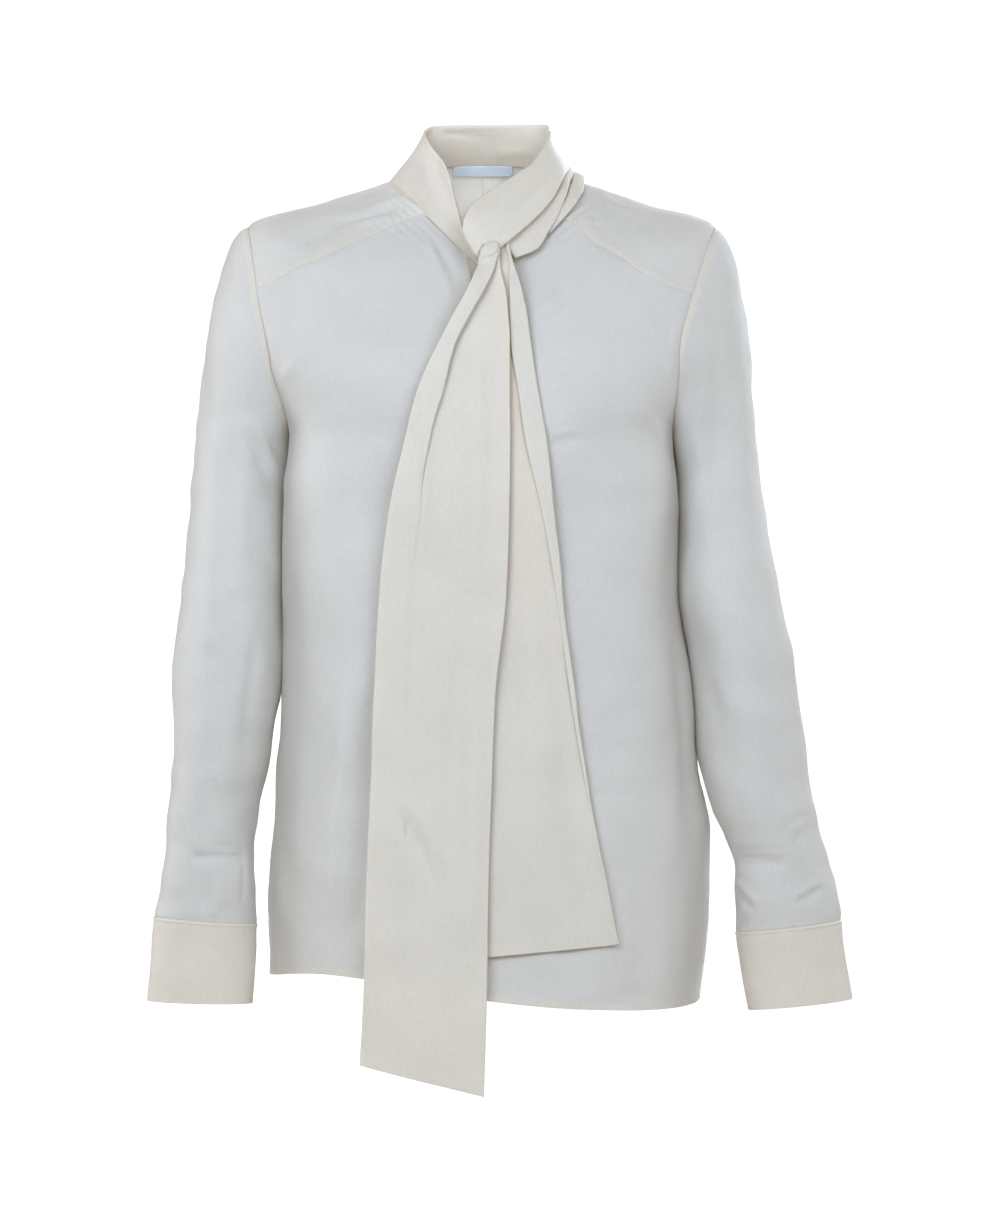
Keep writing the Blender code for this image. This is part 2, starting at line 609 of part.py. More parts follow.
def add_knot(finish):
    ball = bmesh.new()
    bmesh.ops.create_uvsphere(ball, u_segments=KNOT_SIDES, v_segments=KNOT_BANDS, radius=1)
    mesh = bpy.data.meshes.new("tie_knot")
    bmesh.ops.scale(ball, vec=KNOT_RADII, verts=ball.verts)
    ball.to_mesh(mesh)
    ball.free()
    knot = add_object("tie_knot", mesh, finish)
    knot.location = KNOT_CENTRE
    knot.rotation_euler = (0, KNOT_TILT, 0)


def add_tail(name, rows, finish):
    edge = along_rows(rows, np.linspace(0, 1, TAIL_STEPS + 1))
    folded = np.clip(edge.tuck / FOLD_THICKNESS, 0, 1)
    x = [edge.left_x + (edge.fold_x - edge.left_x) * k / TAIL_FRONT_STEPS
         for k in range(TAIL_FRONT_STEPS + 1)]
    tucked = edge.fold_x - edge.tuck + FOLD_TURN
    x += [tucked + (edge.right_x - tucked) * k / TAIL_BACK_STEPS
          for k in range(TAIL_BACK_STEPS + 1)]
    x = np.stack(x, axis=-1)
    part = (x - edge.left_x[:, None]) / (edge.right_x - edge.left_x)[:, None]
    z = edge.left_z[:, None] + (edge.right_z - edge.left_z)[:, None] * part
    raised = np.zeros_like(x)
    raised[:, : TAIL_FRONT_STEPS + 1] = folded[:, None] * FOLD_THICKNESS
    y = -(front_depth(x, z) + edge.off[:, None] + raised)
    add_cloth(name, np.stack([x, y, z], axis=-1), DOUBLE_WALL, finish)


def add_label(finish):
    level = np.linspace(*LABEL_LEVELS, LABEL_FALL_STEPS + 1)[:, None]
    x = np.linspace(LABEL_HALF_WIDTH, -LABEL_HALF_WIDTH, LABEL_STEPS + 1)
    turn = 180 - np.degrees(np.arcsin(x / ring_column("left", level)))
    points = body(turn, level) - body_out(turn, level) * LABEL_DEPTH
    add_cloth("neck_label", points, LABEL_WALL, finish)


def main():
    for obj in list(bpy.data.objects):
        bpy.data.objects.remove(obj)
    bpy.context.scene.collection.children.link(BLOUSE)
    crepe = material("silk crepe", (0.66, 0.67, 0.68), 0.55)
    double_crepe = material("doubled silk crepe", (0.68, 0.66, 0.62), 0.5)
    satin = material("label satin", (0.52, 0.58, 0.64), 0.35)
    for half in (RIGHT, LEFT):
        add_front(half, crepe)
        add_yoke(half, crepe)
        add_sleeve(half, crepe, double_crepe)
    add_back(crepe)
    add_collar(double_crepe)
    add_strip("tie_swath", SWATH, STRIP_CROSS_STEPS, SWATH_ROUNDNESS, double_crepe)
    add_strip("tie_fold_middle", FOLD_MIDDLE, FOLD_CROSS_STEPS, FOLD_ROUNDNESS, double_crepe)
    add_strip("tie_fold_outer", FOLD_OUTER, FOLD_CROSS_STEPS, FOLD_ROUNDNESS, double_crepe)
    add_knot(double_crepe)
    add_tail("tie_tail_long", TAIL_LONG, double_crepe)
    add_tail("tie_tail_short", TAIL_SHORT, double_crepe)
    add_label(satin)


main()
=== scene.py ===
import json

import bmesh
import bpy
import numpy as np
from mathutils import Matrix, Vector

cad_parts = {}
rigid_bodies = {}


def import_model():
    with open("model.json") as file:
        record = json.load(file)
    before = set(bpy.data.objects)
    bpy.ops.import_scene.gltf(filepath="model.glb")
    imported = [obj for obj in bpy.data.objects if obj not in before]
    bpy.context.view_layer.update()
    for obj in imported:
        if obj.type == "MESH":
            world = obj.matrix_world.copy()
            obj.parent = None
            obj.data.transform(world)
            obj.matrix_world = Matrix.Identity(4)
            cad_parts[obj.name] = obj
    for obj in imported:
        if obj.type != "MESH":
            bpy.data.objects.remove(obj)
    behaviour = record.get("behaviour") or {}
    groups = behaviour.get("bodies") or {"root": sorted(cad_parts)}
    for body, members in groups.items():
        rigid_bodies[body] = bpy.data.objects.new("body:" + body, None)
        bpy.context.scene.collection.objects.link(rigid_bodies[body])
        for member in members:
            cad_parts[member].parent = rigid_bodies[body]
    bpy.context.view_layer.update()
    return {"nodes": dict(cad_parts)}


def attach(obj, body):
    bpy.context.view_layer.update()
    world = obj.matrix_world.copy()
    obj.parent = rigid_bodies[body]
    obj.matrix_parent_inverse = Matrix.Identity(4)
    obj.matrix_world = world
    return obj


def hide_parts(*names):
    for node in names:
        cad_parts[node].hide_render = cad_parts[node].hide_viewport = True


# Silk blouse with a tie collar, filled out as when worn. Metres, front towards -Y, +X at the viewer's
# right; tables of places and creases are in millimetres. Every sheet of cloth is a grid laid on
# the body's or sleeve's form, then creased, given its seams and sewn.

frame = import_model()
print("frame loaded:", len(frame["nodes"]), "nodes")

perMetre = 1000  # the tables' lengths are in millimetres
fineSteps = 400  # for measuring along seams
plainColumns = ("turn", "square", "drop")  # table columns that aren't lengths

clothForm = {
    "singleWall": 0.0006,  # one layer of crepe, drawn about twice as thick as real
    "doubledWall": 0.0013,  # two layers turned in and pressed
    "doubledEdge": 0.0010,  # how far in the folded edges round over
    "softWall": 0.0019,  # the same two layers unpressed, round the neck
    "softEdge": 0.0012,
    "labelWall": 0.0007,
    "seamGap": 0.00004,
    "weld": 0.00002,  # points nearer than this become one
    "grooveDepth": 0.00018,
    "spineDepth": 0.0009,
    "grooveWidth": 0.0010,
    "bands": {"allowance": 0.0074, "yoke allowance": 0.0048, "hem": 0.0052, "front edge": 0.0042,
              "spine": 0.0008},
    "bandLift": 0.00022,
    "bandFade": (0.0006, 0.0007),  # inside and past a band's edge
    "hemGroove": (0.00025, 0.0012, 0.0005),  # depth, how far inside the band's edge, width
    "pucker": 0.00022,
    "puckerStep": 0.0085,
    "puckerReach": 0.009,
    "puckerSway": (1.7, 61),  # how unevenly they follow one another, and how often that changes
    "puckerStart": 0.002,
    "turnedPucker": 0.8,  # share of it at turned edges
    "bandSway": (0.06, 83),
    "gatherSway": (2.2, 37, 0.9, 160),  # along the seam and away from it
    "gatherStart": 0.003,
    "joinFade": 0.007,  # creases die away this near to a seam
    "creaseDepth": 1.7,  # how strongly the listed creases are pressed in
    "creaseHollow": (2.4, 0.28),  # the cloth gives a little beside each one: width and depth
    "creaseWander": (0.22, 7, 90, 0.35),  # a crease's width: swell, how often, start, widening
}
turnedEdges = ("hem", "front edge")


def smoothCurve(keys, values, at):
    # a curve through the values that never overshoots
    keys = np.asarray(keys, float)
    values = np.asarray(values, float)
    step = np.diff(keys)
    rise = np.diff(values) / step
    sameWay = rise[:-1] * rise[1:] > 0
    total = np.where(sameWay, rise[:-1] + rise[1:], 1)
    middle = np.where(sameWay, 2 * rise[:-1] * rise[1:] / total, 0)
    slope = np.concatenate([rise[:1], middle, rise[-1:]])
    at = np.asarray(at, float)
    place = np.clip(np.searchsorted(keys, at, side="right") - 1, 0, len(keys) - 2)
    part = (at - keys[place]) / step[place]
    ease = part**2 * (3 - 2 * part)
    bend = part * (1 - part) * step[place]
    turnOut = bend * ((1 - part) * slope[place] - part * slope[place + 1])
    return (1 - ease) * values[place] + ease * values[place + 1] + turnOut


def throughStops(stops, at, keys=None):
    # the same for places of several numbers
    keys = range(len(stops)) if keys is None else keys
    return np.stack([smoothCurve(keys, column, at) for column in np.transpose(stops)], axis=-1)


def columnsAt(columns, rows, at, keys=None):
    # a table's columns by name, at places between its rows
    names = columns.split()
    scale = [1 if name in plainColumns else perMetre for name in names]
    values = throughStops(np.array(rows) / scale, at, keys)
    return {name: values[..., k] for k, name in enumerate(names)}


def alongRows(form, part):
    # the same at parts of the way down the table
    at = np.asarray(part, float) * (len(form["rows"]) - 1)
    return columnsAt(form["columns"], form["rows"], at)


def easeIn(value, start=0.0, end=1.0):
    part = np.clip((value - start) / (end - start), 0, 1)
    return part * part * (3 - 2 * part)


def bell(away, width):
    return np.exp(-((away / width) ** 2))


def unit(ways):
    return ways / np.maximum(np.linalg.norm(ways, axis=-1, keepdims=True), 1e-12)


def spread(*stops):
    # numbers from stop to stop: (value, steps to the next), ..., last value
    parts = []
    for (value, steps), following in zip(stops[:-1], stops[1:]):
        end = following[0] if isinstance(following, tuple) else following
        parts.append(np.linspace(value, end, steps, endpoint=False))
    return np.concatenate(parts + [[stops[-1]]])


def lengths(points, axis):
    # distance from the first point, along rows or columns
    steps = np.linalg.norm(np.diff(points, axis=axis), axis=-1)
    start = np.zeros_like(np.take(steps, [0], axis=axis))
    return np.concatenate([start, np.cumsum(steps, axis=axis)], axis=axis)


def fromEdges(points):
    # distances from the top, bottom, first and last edge of a grid
    down = lengths(points, 0)
    across = lengths(points, 1)
    return {"top": down, "bottom": down[-1:] - down, "start": across, "end": across[:, -1:] - across}


def outOf(points, way):
    # unit normals of a grid, all on the side that way says
    out = unit(np.cross(np.gradient(points, axis=1), np.gradient(points, axis=0)))
    if way == "front":
        side = -out[..., 1].mean()
    else:
        side = np.sum(out * (points - points.mean(axis=(0, 1))), axis=-1).mean()
    return out * (1 if side > 0 else -1)


# the body's form: heights at the centre front, sides and centre back, half widths, depths ahead
# of and behind the side line, squareness of the outline, and how evenly the front drops
bodyForm = {
    "columns": "front side back right left ahead behind square drop",
    "rows": [
        (-70, 4, 26, 81, 83, 72, 78, 2, 1), (-88, -14, 2, 139, 138, 88, 95, 2.1, 1.3),
        (-108, -34, -34, 198, 197, 100, 108, 2.3, 1.7), (-135, -88, -90, 205, 203, 110, 118, 2.6, 2),
        (-168, -148, -148, 191, 190, 118, 121, 2.8, 2), (-215, -215, -215, 163, 161, 124, 116, 2.8, 2),
        (-260, -260, -260, 167.5, 165, 127, 113, 3, 2), (-340, -340, -340, 169, 166.8, 124, 109, 3.1, 2),
        (-420, -420, -420, 169.4, 178.5, 122, 109, 3.1, 2),
        (-490, -490, -490, 173, 182.5, 122, 114, 3, 2), (-550, -550, -550, 177, 193, 124, 119, 2.8, 2),
        (-620, -620, -620, 181, 192, 125, 123, 2.6, 2), (-700, -700, -700, 178, 183, 128, 126, 2.4, 2),
    ],
    "hem": [  # turn, height
        (-92, -669.5), (-70, -667), (-45, -663), (-25, -668), (-5, -679), (6, -684), (25, -689.5),
        (45, -692), (84, -689), (135, -686), (180, -681), (225, -673), (268, -669.5),
    ],
    "shoulderLevel": 2.0,
    "chestHalfWidth": 0.2050,
    "underarmLevel": 5.0,
    "seatLevel": 11.0,
    "lastLevel": 12.0,
    "backYokeLevel": 3.15,
    "backDrop": 3.0,
    "yokeFrontBearing": 64,
    "yokeBackBearing": -70,
    "lap": (18, 8),  # turns where the upper front starts to stand off the lower, and where it does
}

# seams as (turn, level); how far the armholes reach ahead and behind, in degrees
halves = {
    "right": {
        "name": "right",
        "sign": -1,
        "yokeSeam": [(36, 0.0), (39, 0.5), (41, 1.3), (42, 1.85), (46, 2.2), (52, 2.55)],
        "edge": [(8, 0.0), (4.2, 1.0), (3.0, 2.0), (1, 4.0), (-0.5, 6.0), (-0.5, 11.0)],
        "sideSeam": [(90, 5.0), (91, 8.0), (92, 11.0)],
        "reachAhead": 33,
        "reachBehind": 30,
        "lapLift": 0.0020,
    },
    "left": {
        "name": "left",
        "sign": 1,
        "yokeSeam": [(38, 0.0), (41, 0.6), (38, 1.3), (38, 1.85), (43, 2.4)],
        "edge": [(4, 0.0), (2, 2.0), (-4, 4.0), (-6, 6.0), (-6, 11.0)],
        "sideSeam": [(90, 5.0), (87, 8.0), (83, 10.0), (84, 11.0)],
        "reachAhead": 40,
        "reachBehind": 30,
        "lapLift": 0.0,
    },
}


def bodyPoints(turn, level):
    # turn: degrees from the centre front towards +X; level: rings from the neck down
    sine = np.sin(np.radians(turn))
    cosine = np.cos(np.radians(turn))
    ring = columnsAt(bodyForm["columns"], bodyForm["rows"], level)
    square = ring["square"]
    reach = (abs(sine) ** square + abs(cosine) ** square) ** (-1 / square)
    half = np.where(sine < 0, ring["right"], ring["left"])
    depth = np.where(cosine > 0, ring["ahead"], ring["behind"])
    end = np.where(cosine > 0, ring["front"], ring["back"])
    drop = np.where(cosine > 0, ring["drop"], bodyForm["backDrop"])
    height = ring["side"] + (end - ring["side"]) * (1 - abs(sine) ** drop)
    return np.stack([half * reach * sine, -depth * reach * cosine, height], axis=-1)


def bodyOut(turn, level, tinyTurn=0.5, tinyLevel=0.01):
    across = bodyPoints(turn + tinyTurn, level) - bodyPoints(turn - tinyTurn, level)
    down = bodyPoints(turn, level + tinyLevel) - bodyPoints(turn, level - tinyLevel)
    return unit(np.cross(down, across))


def frontDepth(x, z, tries=24, pace=0.7, tinyTurn=0.01, tinyLevel=0.001):
    # how far ahead of the side line the front lies at some x and z
    fronts = [-row[0] / perMetre for row in bodyForm["rows"]]
    level = np.interp(-z, fronts, range(len(fronts)))
    turn = np.degrees(np.arcsin(x / bodyForm["chestHalfWidth"]))
    for _ in range(tries):
        here = bodyPoints(turn, level)
        across = (bodyPoints(turn + tinyTurn, level) - here) / tinyTurn
        down = (here - bodyPoints(turn, level - tinyLevel)) / tinyLevel
        gapX = x - here[..., 0]
        gapZ = np.maximum(z, -fronts[-1]) - here[..., 2]
        scale = across[..., 0] * down[..., 2] - across[..., 2] * down[..., 0]
        turn = turn + pace * (gapX * down[..., 2] - gapZ * down[..., 0]) / scale
        level = level + pace * (across[..., 0] * gapZ - across[..., 2] * gapX) / scale
        level = np.clip(level, 2 * tinyLevel, bodyForm["lastLevel"])
    return -bodyPoints(turn, level)[..., 1]


def hemLevel(turn):
    height = smoothCurve(*zip(*bodyForm["hem"]), turn)
    seat, below = [row[1] for row in bodyForm["rows"][-2:]]
    return bodyForm["seatLevel"] + (seat - height) / (seat - below)


def seamLine(stops, steps):
    # (turn, level) at even steps along a smooth seam through some stops
    line = throughStops(stops, np.linspace(0, len(stops) - 1, fineSteps)).T
    length = lengths(bodyPoints(*line), 0)
    even = np.linspace(0, length[-1], steps + 1)
    return np.stack([np.interp(even, length, column) for column in line], axis=-1)


def endToEnd(*seams):
    return np.concatenate([seams[0]] + [seam[1:] for seam in seams[1:]])


def onSide(half, stops):
    return [(half["sign"] * turn, level) for turn, level in stops]


def armhole(half, bearing):
    # (turn, level) of an armhole at bearings round it, from its top towards the front
    sine = np.sin(np.radians(bearing))
    reach = np.where(sine > 0, half["reachAhead"], half["reachBehind"])
    fall = bodyForm["underarmLevel"] - bodyForm["shoulderLevel"]
    level = bodyForm["shoulderLevel"] + fall * (1 - np.cos(np.radians(bearing))) / 2
    return np.stack([half["sign"] * (90 - reach * sine), level], axis=-1)


def armholeBearings(half, start, end, steps):
    fine = np.linspace(start, end, fineSteps)
    length = lengths(bodyPoints(*armhole(half, fine).T), 0)
    return np.interp(np.linspace(0, length[-1], steps + 1), length, fine)


def yokeSeam(half, steps):
    corner = tuple(armhole(half, bodyForm["yokeFrontBearing"]))
    return seamLine(onSide(half, half["yokeSeam"]) + [corner], steps)


def backYokeSeam(half, steps):
    corner = tuple(armhole(half, bodyForm["yokeBackBearing"]))
    return seamLine([corner, (half["sign"] * 180, bodyForm["backYokeLevel"])], steps)


def sideSeam(half, steps):
    stops = onSide(half, half["sideSeam"])
    turn = stops[-1][0]
    return seamLine(stops + [(turn, hemLevel(turn))], steps)


def hemLine(start, end, steps):
    turn = np.linspace(start, end, steps + 1)
    return np.stack([turn, hemLevel(turn)], axis=-1)


def fillSeams(top, bottom, start, end):
    # turns and levels between four seams
    across = np.linspace(0, 1, len(top))[None, :, None]
    down = np.linspace(0, 1, len(start))[:, None, None]
    ruled = (1 - down) * top[None] + down * bottom[None]
    ruled = ruled + (1 - across) * start[:, None] + across * end[:, None]
    corners = (1 - across) * top[0] + across * top[-1]
    corners = (1 - down) * corners + down * ((1 - across) * bottom[0] + across * bottom[-1])
    return ruled - corners


def tightEnds(places, tight=6, closer=1.3):
    # adds rows and columns close to the edges, where seams need them
    close = np.linspace(0, 1, tight, endpoint=False) ** closer
    for axis in (0, 1):
        count = places.shape[axis]
        at = np.concatenate([close, np.arange(1, count - 1), count - 1 - close[::-1]])
        at = np.unique(np.round(at, 6))
        low = np.clip(np.floor(at).astype(int), 0, count - 2)
        part = (at - low).reshape([-1 if k == axis else 1 for k in range(places.ndim)])
        first = np.take(places, low, axis=axis)
        second = np.take(places, low + 1, axis=axis)
        places = first * (1 - part) + second * part
    return places


def drawnIn(points, distance):
    # the outer rows and columns a little inside the seam
    inner = points.copy()
    inner[0] = inner[1]
    inner[-1] = inner[-2]
    inner[:, 0] = inner[:, 1]
    inner[:, -1] = inner[:, -2]
    return points + unit(inner - points) * distance


# creases placed one by one: from (x, z) to (toX, toZ), how far the middle bows aside, width of the
# soft ridge, depth (ridge above zero, trough below), and the shares over which each end fades
bodyCreases = {
    "front": [
        (-49, -46.3, -25.9, -104, 2.5, 4.1, 1.3, 0.3, 0.4),
        (-40.8, -47.9, -16, -104, 2.5, 4.5, -1.1, 0.3, 0.4),
        (-149.6, -72.7, -136.4, -186.4, 3.3, 6.6, 0.8, 0.2, 0.5),
        (-124.9, -72.7, -112.5, -170, 2.5, 6.6, -0.6, 0.2, 0.5),
        (-167.7, -170, -124.9, -128.7, 3.3, 7.4, 1, 0.1, 0.7),
        (-164, -230, -115, -190, 4, 8.5, 1.1, 0.1, 0.7),
        (-131.5, -229.2, -50.8, -210.3, 6.6, 17, -0.6, 0.4, 0.4),
        (-105.9, -384.3, -138.9, -643.4, 4.9, 13.2, 3.2, 0.4, 0.3),
        (-88.2, -384.3, -113.6, -659.9, 3.3, 11.5, -3, 0.4, 0.2),
        (-149.6, -318.4, -156.2, -598.7, 2.5, 9.9, 0.9, 0.4, 0.4),
        (-150.4, -519.5, -131.5, -518.7, 0, 1.6, -0.4, 0.3, 0.3),
        (-148, -523.5, -134, -523, 0, 1.6, 0.3, 0.3, 0.3),
        (64.8, -90.8, 39.2, -117.2, 2.5, 3.3, 1.1, 0.3, 0.4),
        (74.7, -90.8, 45, -122.1, 2.5, 4.1, -0.9, 0.3, 0.4),
        (53.2, -219.4, 82.9, -212, 2.5, 2.5, 0.9, 0.2, 0.6),
        (53.2, -224.4, 97.7, -219.4, 2.5, 4.1, -1, 0.2, 0.6),
        (64.8, -229.3, 143.1, -216.1, -6.6, 17, -0.6, 0.4, 0.4),
        (169.5, -104, 160.4, -180.7, 1.6, 2.9, -1, 0.2, 0.5),
        (160.4, -108.1, 153, -186.4, 1.6, 2.9, 0.9, 0.2, 0.5),
        (148.9, -112.2, 143.1, -170, 1.6, 3.3, -0.5, 0.2, 0.5),
        (160, -225, 112, -185, -3, 8, 1, 0.1, 0.7), (87.9, -513.8, 132.4, -513.8, 0, 1.6, -0.5, 0.2, 0.2),
        (90, -518, 130, -517.6, 0, 1.8, 0.3, 0.3, 0.3),
        (167, -318.4, 182.7, -516.2, 3.3, 4.9, 1.2, 0.3, 0.4),
        (157.1, -351.3, 173.6, -598.7, 3.3, 6.6, -1.4, 0.3, 0.4),
        (97.7, -565.7, 89.5, -689.4, 2.5, 13.2, 1.2, 0.5, 0.1),
        (130.7, -557.5, 130.7, -689.4, 2.5, 13.2, -1.1, 0.5, 0.1),
    ],
    "back": [
        (-112, -100, -96, -330, 6, 15, 2.9, 0.2, 0.5), (-82, -105, -72, -300, 5, 13, -2.6, 0.2, 0.5),
        (92, -100, 78, -340, -6, 15, 2.9, 0.2, 0.5), (118, -102, 104, -290, -4, 12, -2.2, 0.2, 0.5),
        (-30, -105, -20, -310, 3, 14, -1.6, 0.2, 0.5), (-164, -225, -90, -185, 6, 9, 2.2, 0.1, 0.7),
        (-162, -245, -100, -220, 5, 8, -1.8, 0.1, 0.7), (162, -220, 95, -180, -6, 9, 2.2, 0.1, 0.7),
        (161, -242, 105, -218, -4, 8, -1.8, 0.1, 0.7), (-118, -350, -135, -675, 8, 18, 4.2, 0.5, 0.1),
        (-85, -370, -98, -680, 6, 16, -3.8, 0.5, 0.1), (-40, -360, -46, -680, 4, 17, 3.8, 0.5, 0.1),
        (5, -390, 6, -685, -3, 16, -3.2, 0.5, 0.1), (50, -360, 60, -685, -6, 18, 4.2, 0.5, 0.1),
        (98, -380, 110, -685, -5, 16, -3.5, 0.5, 0.1), (138, -340, 152, -685, -5, 15, 3.2, 0.5, 0.1),
        (-120, -420, 20, -400, -10, 11, -1.6, 0.4, 0.4), (130, -435, 40, -410, -8, 11, -1.6, 0.4, 0.4),
    ],
    "bumps": [  # x, z, width, height, how far the cloth stands out: gentle fullness at the bust
        (-74, -176, 56, 56, 9), (88, -178, 54, 56, 8.8), (-78, -272, 64, 48, -3.6),
        (90, -274, 60, 48, -3.6), (-95, -255, 50, 40, -3), (-110, -705, 70, 80, -6),
    ],
    "unevenness": 0.0011,
    "swing": 0.085,
}


def creaseLift(x, z, rows):
    lift = np.zeros_like(x)
    wider, hollow = clothForm["creaseHollow"]
    swell, often, begin, widen = clothForm["creaseWander"]
    for *sizes, rise, fall in rows:
        startX, startZ, toX, toZ, bow, width, depth = np.array(sizes) / perMetre
        length = np.hypot(toX - startX, toZ - startZ)
        alongX, alongZ = (toX - startX) / length, (toZ - startZ) / length
        part = ((x - startX) * alongX + (z - startZ) * alongZ) / length
        aside = (z - startZ) * alongX - (x - startX) * alongZ - bow * 4 * part * (1 - part)
        wander = 1 + swell * np.sin(part * often + startX * begin) + widen * (part - 0.5)
        ridge = bell(aside, width * wander) - hollow * bell(aside, width * wider)
        lift += depth * ridge * easeIn(part, 0, rise) * easeIn(1 - part, 0, fall)
    return lift * clothForm["creaseDepth"]


def unevenness(points, size, height, seed, octaves=3, swells=5, finer=1.7, lower=1.9):
    # a soft low waviness made of crossing swells
    numbers = np.random.default_rng(seed)
    lift = np.zeros(points.shape[:-1])
    for octave in range(octaves):
        for _ in range(swells):
            way = numbers.normal(size=3)
            way = way / np.linalg.norm(way) * 2 * np.pi / (size / finer**octave)
            phase = numbers.uniform(0, 2 * np.pi)
            lift += np.sin(points @ way + phase) / lower**octave
    return lift * height / octaves


def creased(points, form, way, seed, joined=()):
    out = outOf(points, way)
    x, z = points[..., 0], points[..., 2]
    ahead = np.clip(-out[..., 1] * 2, 0, 1)
    behind = np.clip(out[..., 1] * 2, 0, 1)
    lift = creaseLift(x, z, form.get("front", [])) * ahead
    lift += creaseLift(x, z, form.get("back", [])) * behind
    for row in form.get("bumps", []):
        middleX, middleZ, width, height, stand = np.array(row) / perMetre
        lift += stand * bell(x - middleX, width) * bell(z - middleZ, height) * ahead
    lift += unevenness(points, form["swing"], form["unevenness"], seed)
    far = fromEdges(points)
    for side in joined:
        lift *= easeIn(far[side], 0, clothForm["joinFade"])
    return points + out * lift[..., None]


def shirred(points, side, centre, reach, fall, height, step):
    # small gathers that run away from a seam, near the neck
    far = fromEdges(points)
    along, away = far["start"], far[side]
    swell = bell(along - centre, reach) * np.exp(-away / fall)
    swell *= easeIn(away, 0, clothForm["gatherStart"])
    sway, often, tilt, rate = clothForm["gatherSway"]
    wave = np.sin(along / step * 2 * np.pi + sway * np.sin(along * often) + tilt * np.sin(away * rate))
    return points + outOf(points, "round") * (wave * swell * height)[..., None]


def seamed(points, edges, level=0.0):
    # what seams and edges do to the cloth beside them. edges: {"top": kind, ...}; returns the points
    # and how doubled the cloth is at each
    far = fromEdges(points)
    lift = np.zeros(points.shape[:-1])
    doubledAndShade = np.full(points.shape[:-1], level)
    form = clothForm
    sway, often = form["puckerSway"]
    swell, rate = form["bandSway"]
    for side, kind in edges.items():
        away = far[side]
        along = far["start"] if side in ("top", "bottom") else far["top"]
        ripple = np.sin(along / form["puckerStep"] * 2 * np.pi + sway * np.sin(along * often))
        ripple *= form["pucker"] * np.exp(-away / form["puckerReach"])
        if kind in form["bands"]:
            reach = form["bands"][kind] * (1 + swell * np.sin(along * rate))
            before, past = form["bandFade"]
            inside = 1 - easeIn(away, reach - before, reach + past)
            lift += form["bandLift"] * inside
            doubledAndShade = np.maximum(doubledAndShade, inside)
        if kind in turnedEdges:
            depth, inset, width = form["hemGroove"]
            lift += ripple * form["turnedPucker"] - depth * bell(away - reach + inset, width)
        else:
            depth = form["spineDepth"] if kind == "spine" else form["grooveDepth"]
            ripple *= easeIn(away, 0, form["puckerStart"])
            lift += ripple - depth * bell(away, form["grooveWidth"])
    return points + outOf(points, "round") * lift[..., None], doubledAndShade


# materials
def linear(hexColour):
    # sRGB hex to the linear colour that the shader takes
    channels = [int(hexColour[k:k + 2], 16) / 255 for k in (1, 3, 5)]
    return (*[c / 12.92 if c <= 0.04045 else ((c + 0.055) / 1.055) ** 2.4 for c in channels], 1)


def addNode(tree, kind, links=(), **settings):
    # one node with its settings; links are (input, node, output)
    node = tree.nodes.new(kind)
    for name, value in settings.items():
        if name.startswith("in_"):
            node.inputs[int(name[3:])].default_value = value
        else:
            setattr(node, name, value)
    for place, source, output in links:
        tree.links.new(source.outputs[output], node.inputs[place])
    return node


def setInputs(node, values):
    for name, value in values.items():
        node.inputs[name].default_value = value


clothFinish = {
    "crepe": {"cool": "#E4E2DD", "warm": "#E9E4DA", "roughness": 0.55, "sheen": 0.80,
              "through": 0.38},
    "doubledCrepe": {"cool": "#E8E2D6", "warm": "#EEE2D0", "roughness": 0.52, "sheen": 0.42,
                     "through": 0.32},
    "label": {"cool": "#BDC5CD", "warm": "#C3CAD1", "roughness": 0.34, "sheen": 0.1,
              "through": 0.05},
    "thread": {"cool": "#ECE7DD", "warm": "#ECE7DD", "roughness": 0.38, "sheen": 0.2,
               "through": 0.05},
    "throughTint": "#FFF6EA",  # light that has come through the silk is warmer
    "grain": 0.0014,  # crepe's pebble is about 0.4 mm across; drawn coarser so that it shows
    "streak": (900.0, 70.0),  # threads are about 0.1 mm; drawn at 1.1 mm with long slubs
    "cloud": 26.0,  # soft patches about 40 mm across
    "darkest": {"cloud": 0.975, "grain": 0.955, "streak": 0.965},  # how far each one shades
    "noise": (0.3, 0.7),  # where in the patterns shading ends and starts
    "relief": (0.6, 0.30, 0.0004),  # streak's share of the grain's height, strength, distance
    "gloss": {"Metallic": 0, "Specular IOR Level": 0.32, "IOR": 1.54, "Sheen Roughness": 0.45},
    "sheenTint": "#F4EFE6",
}


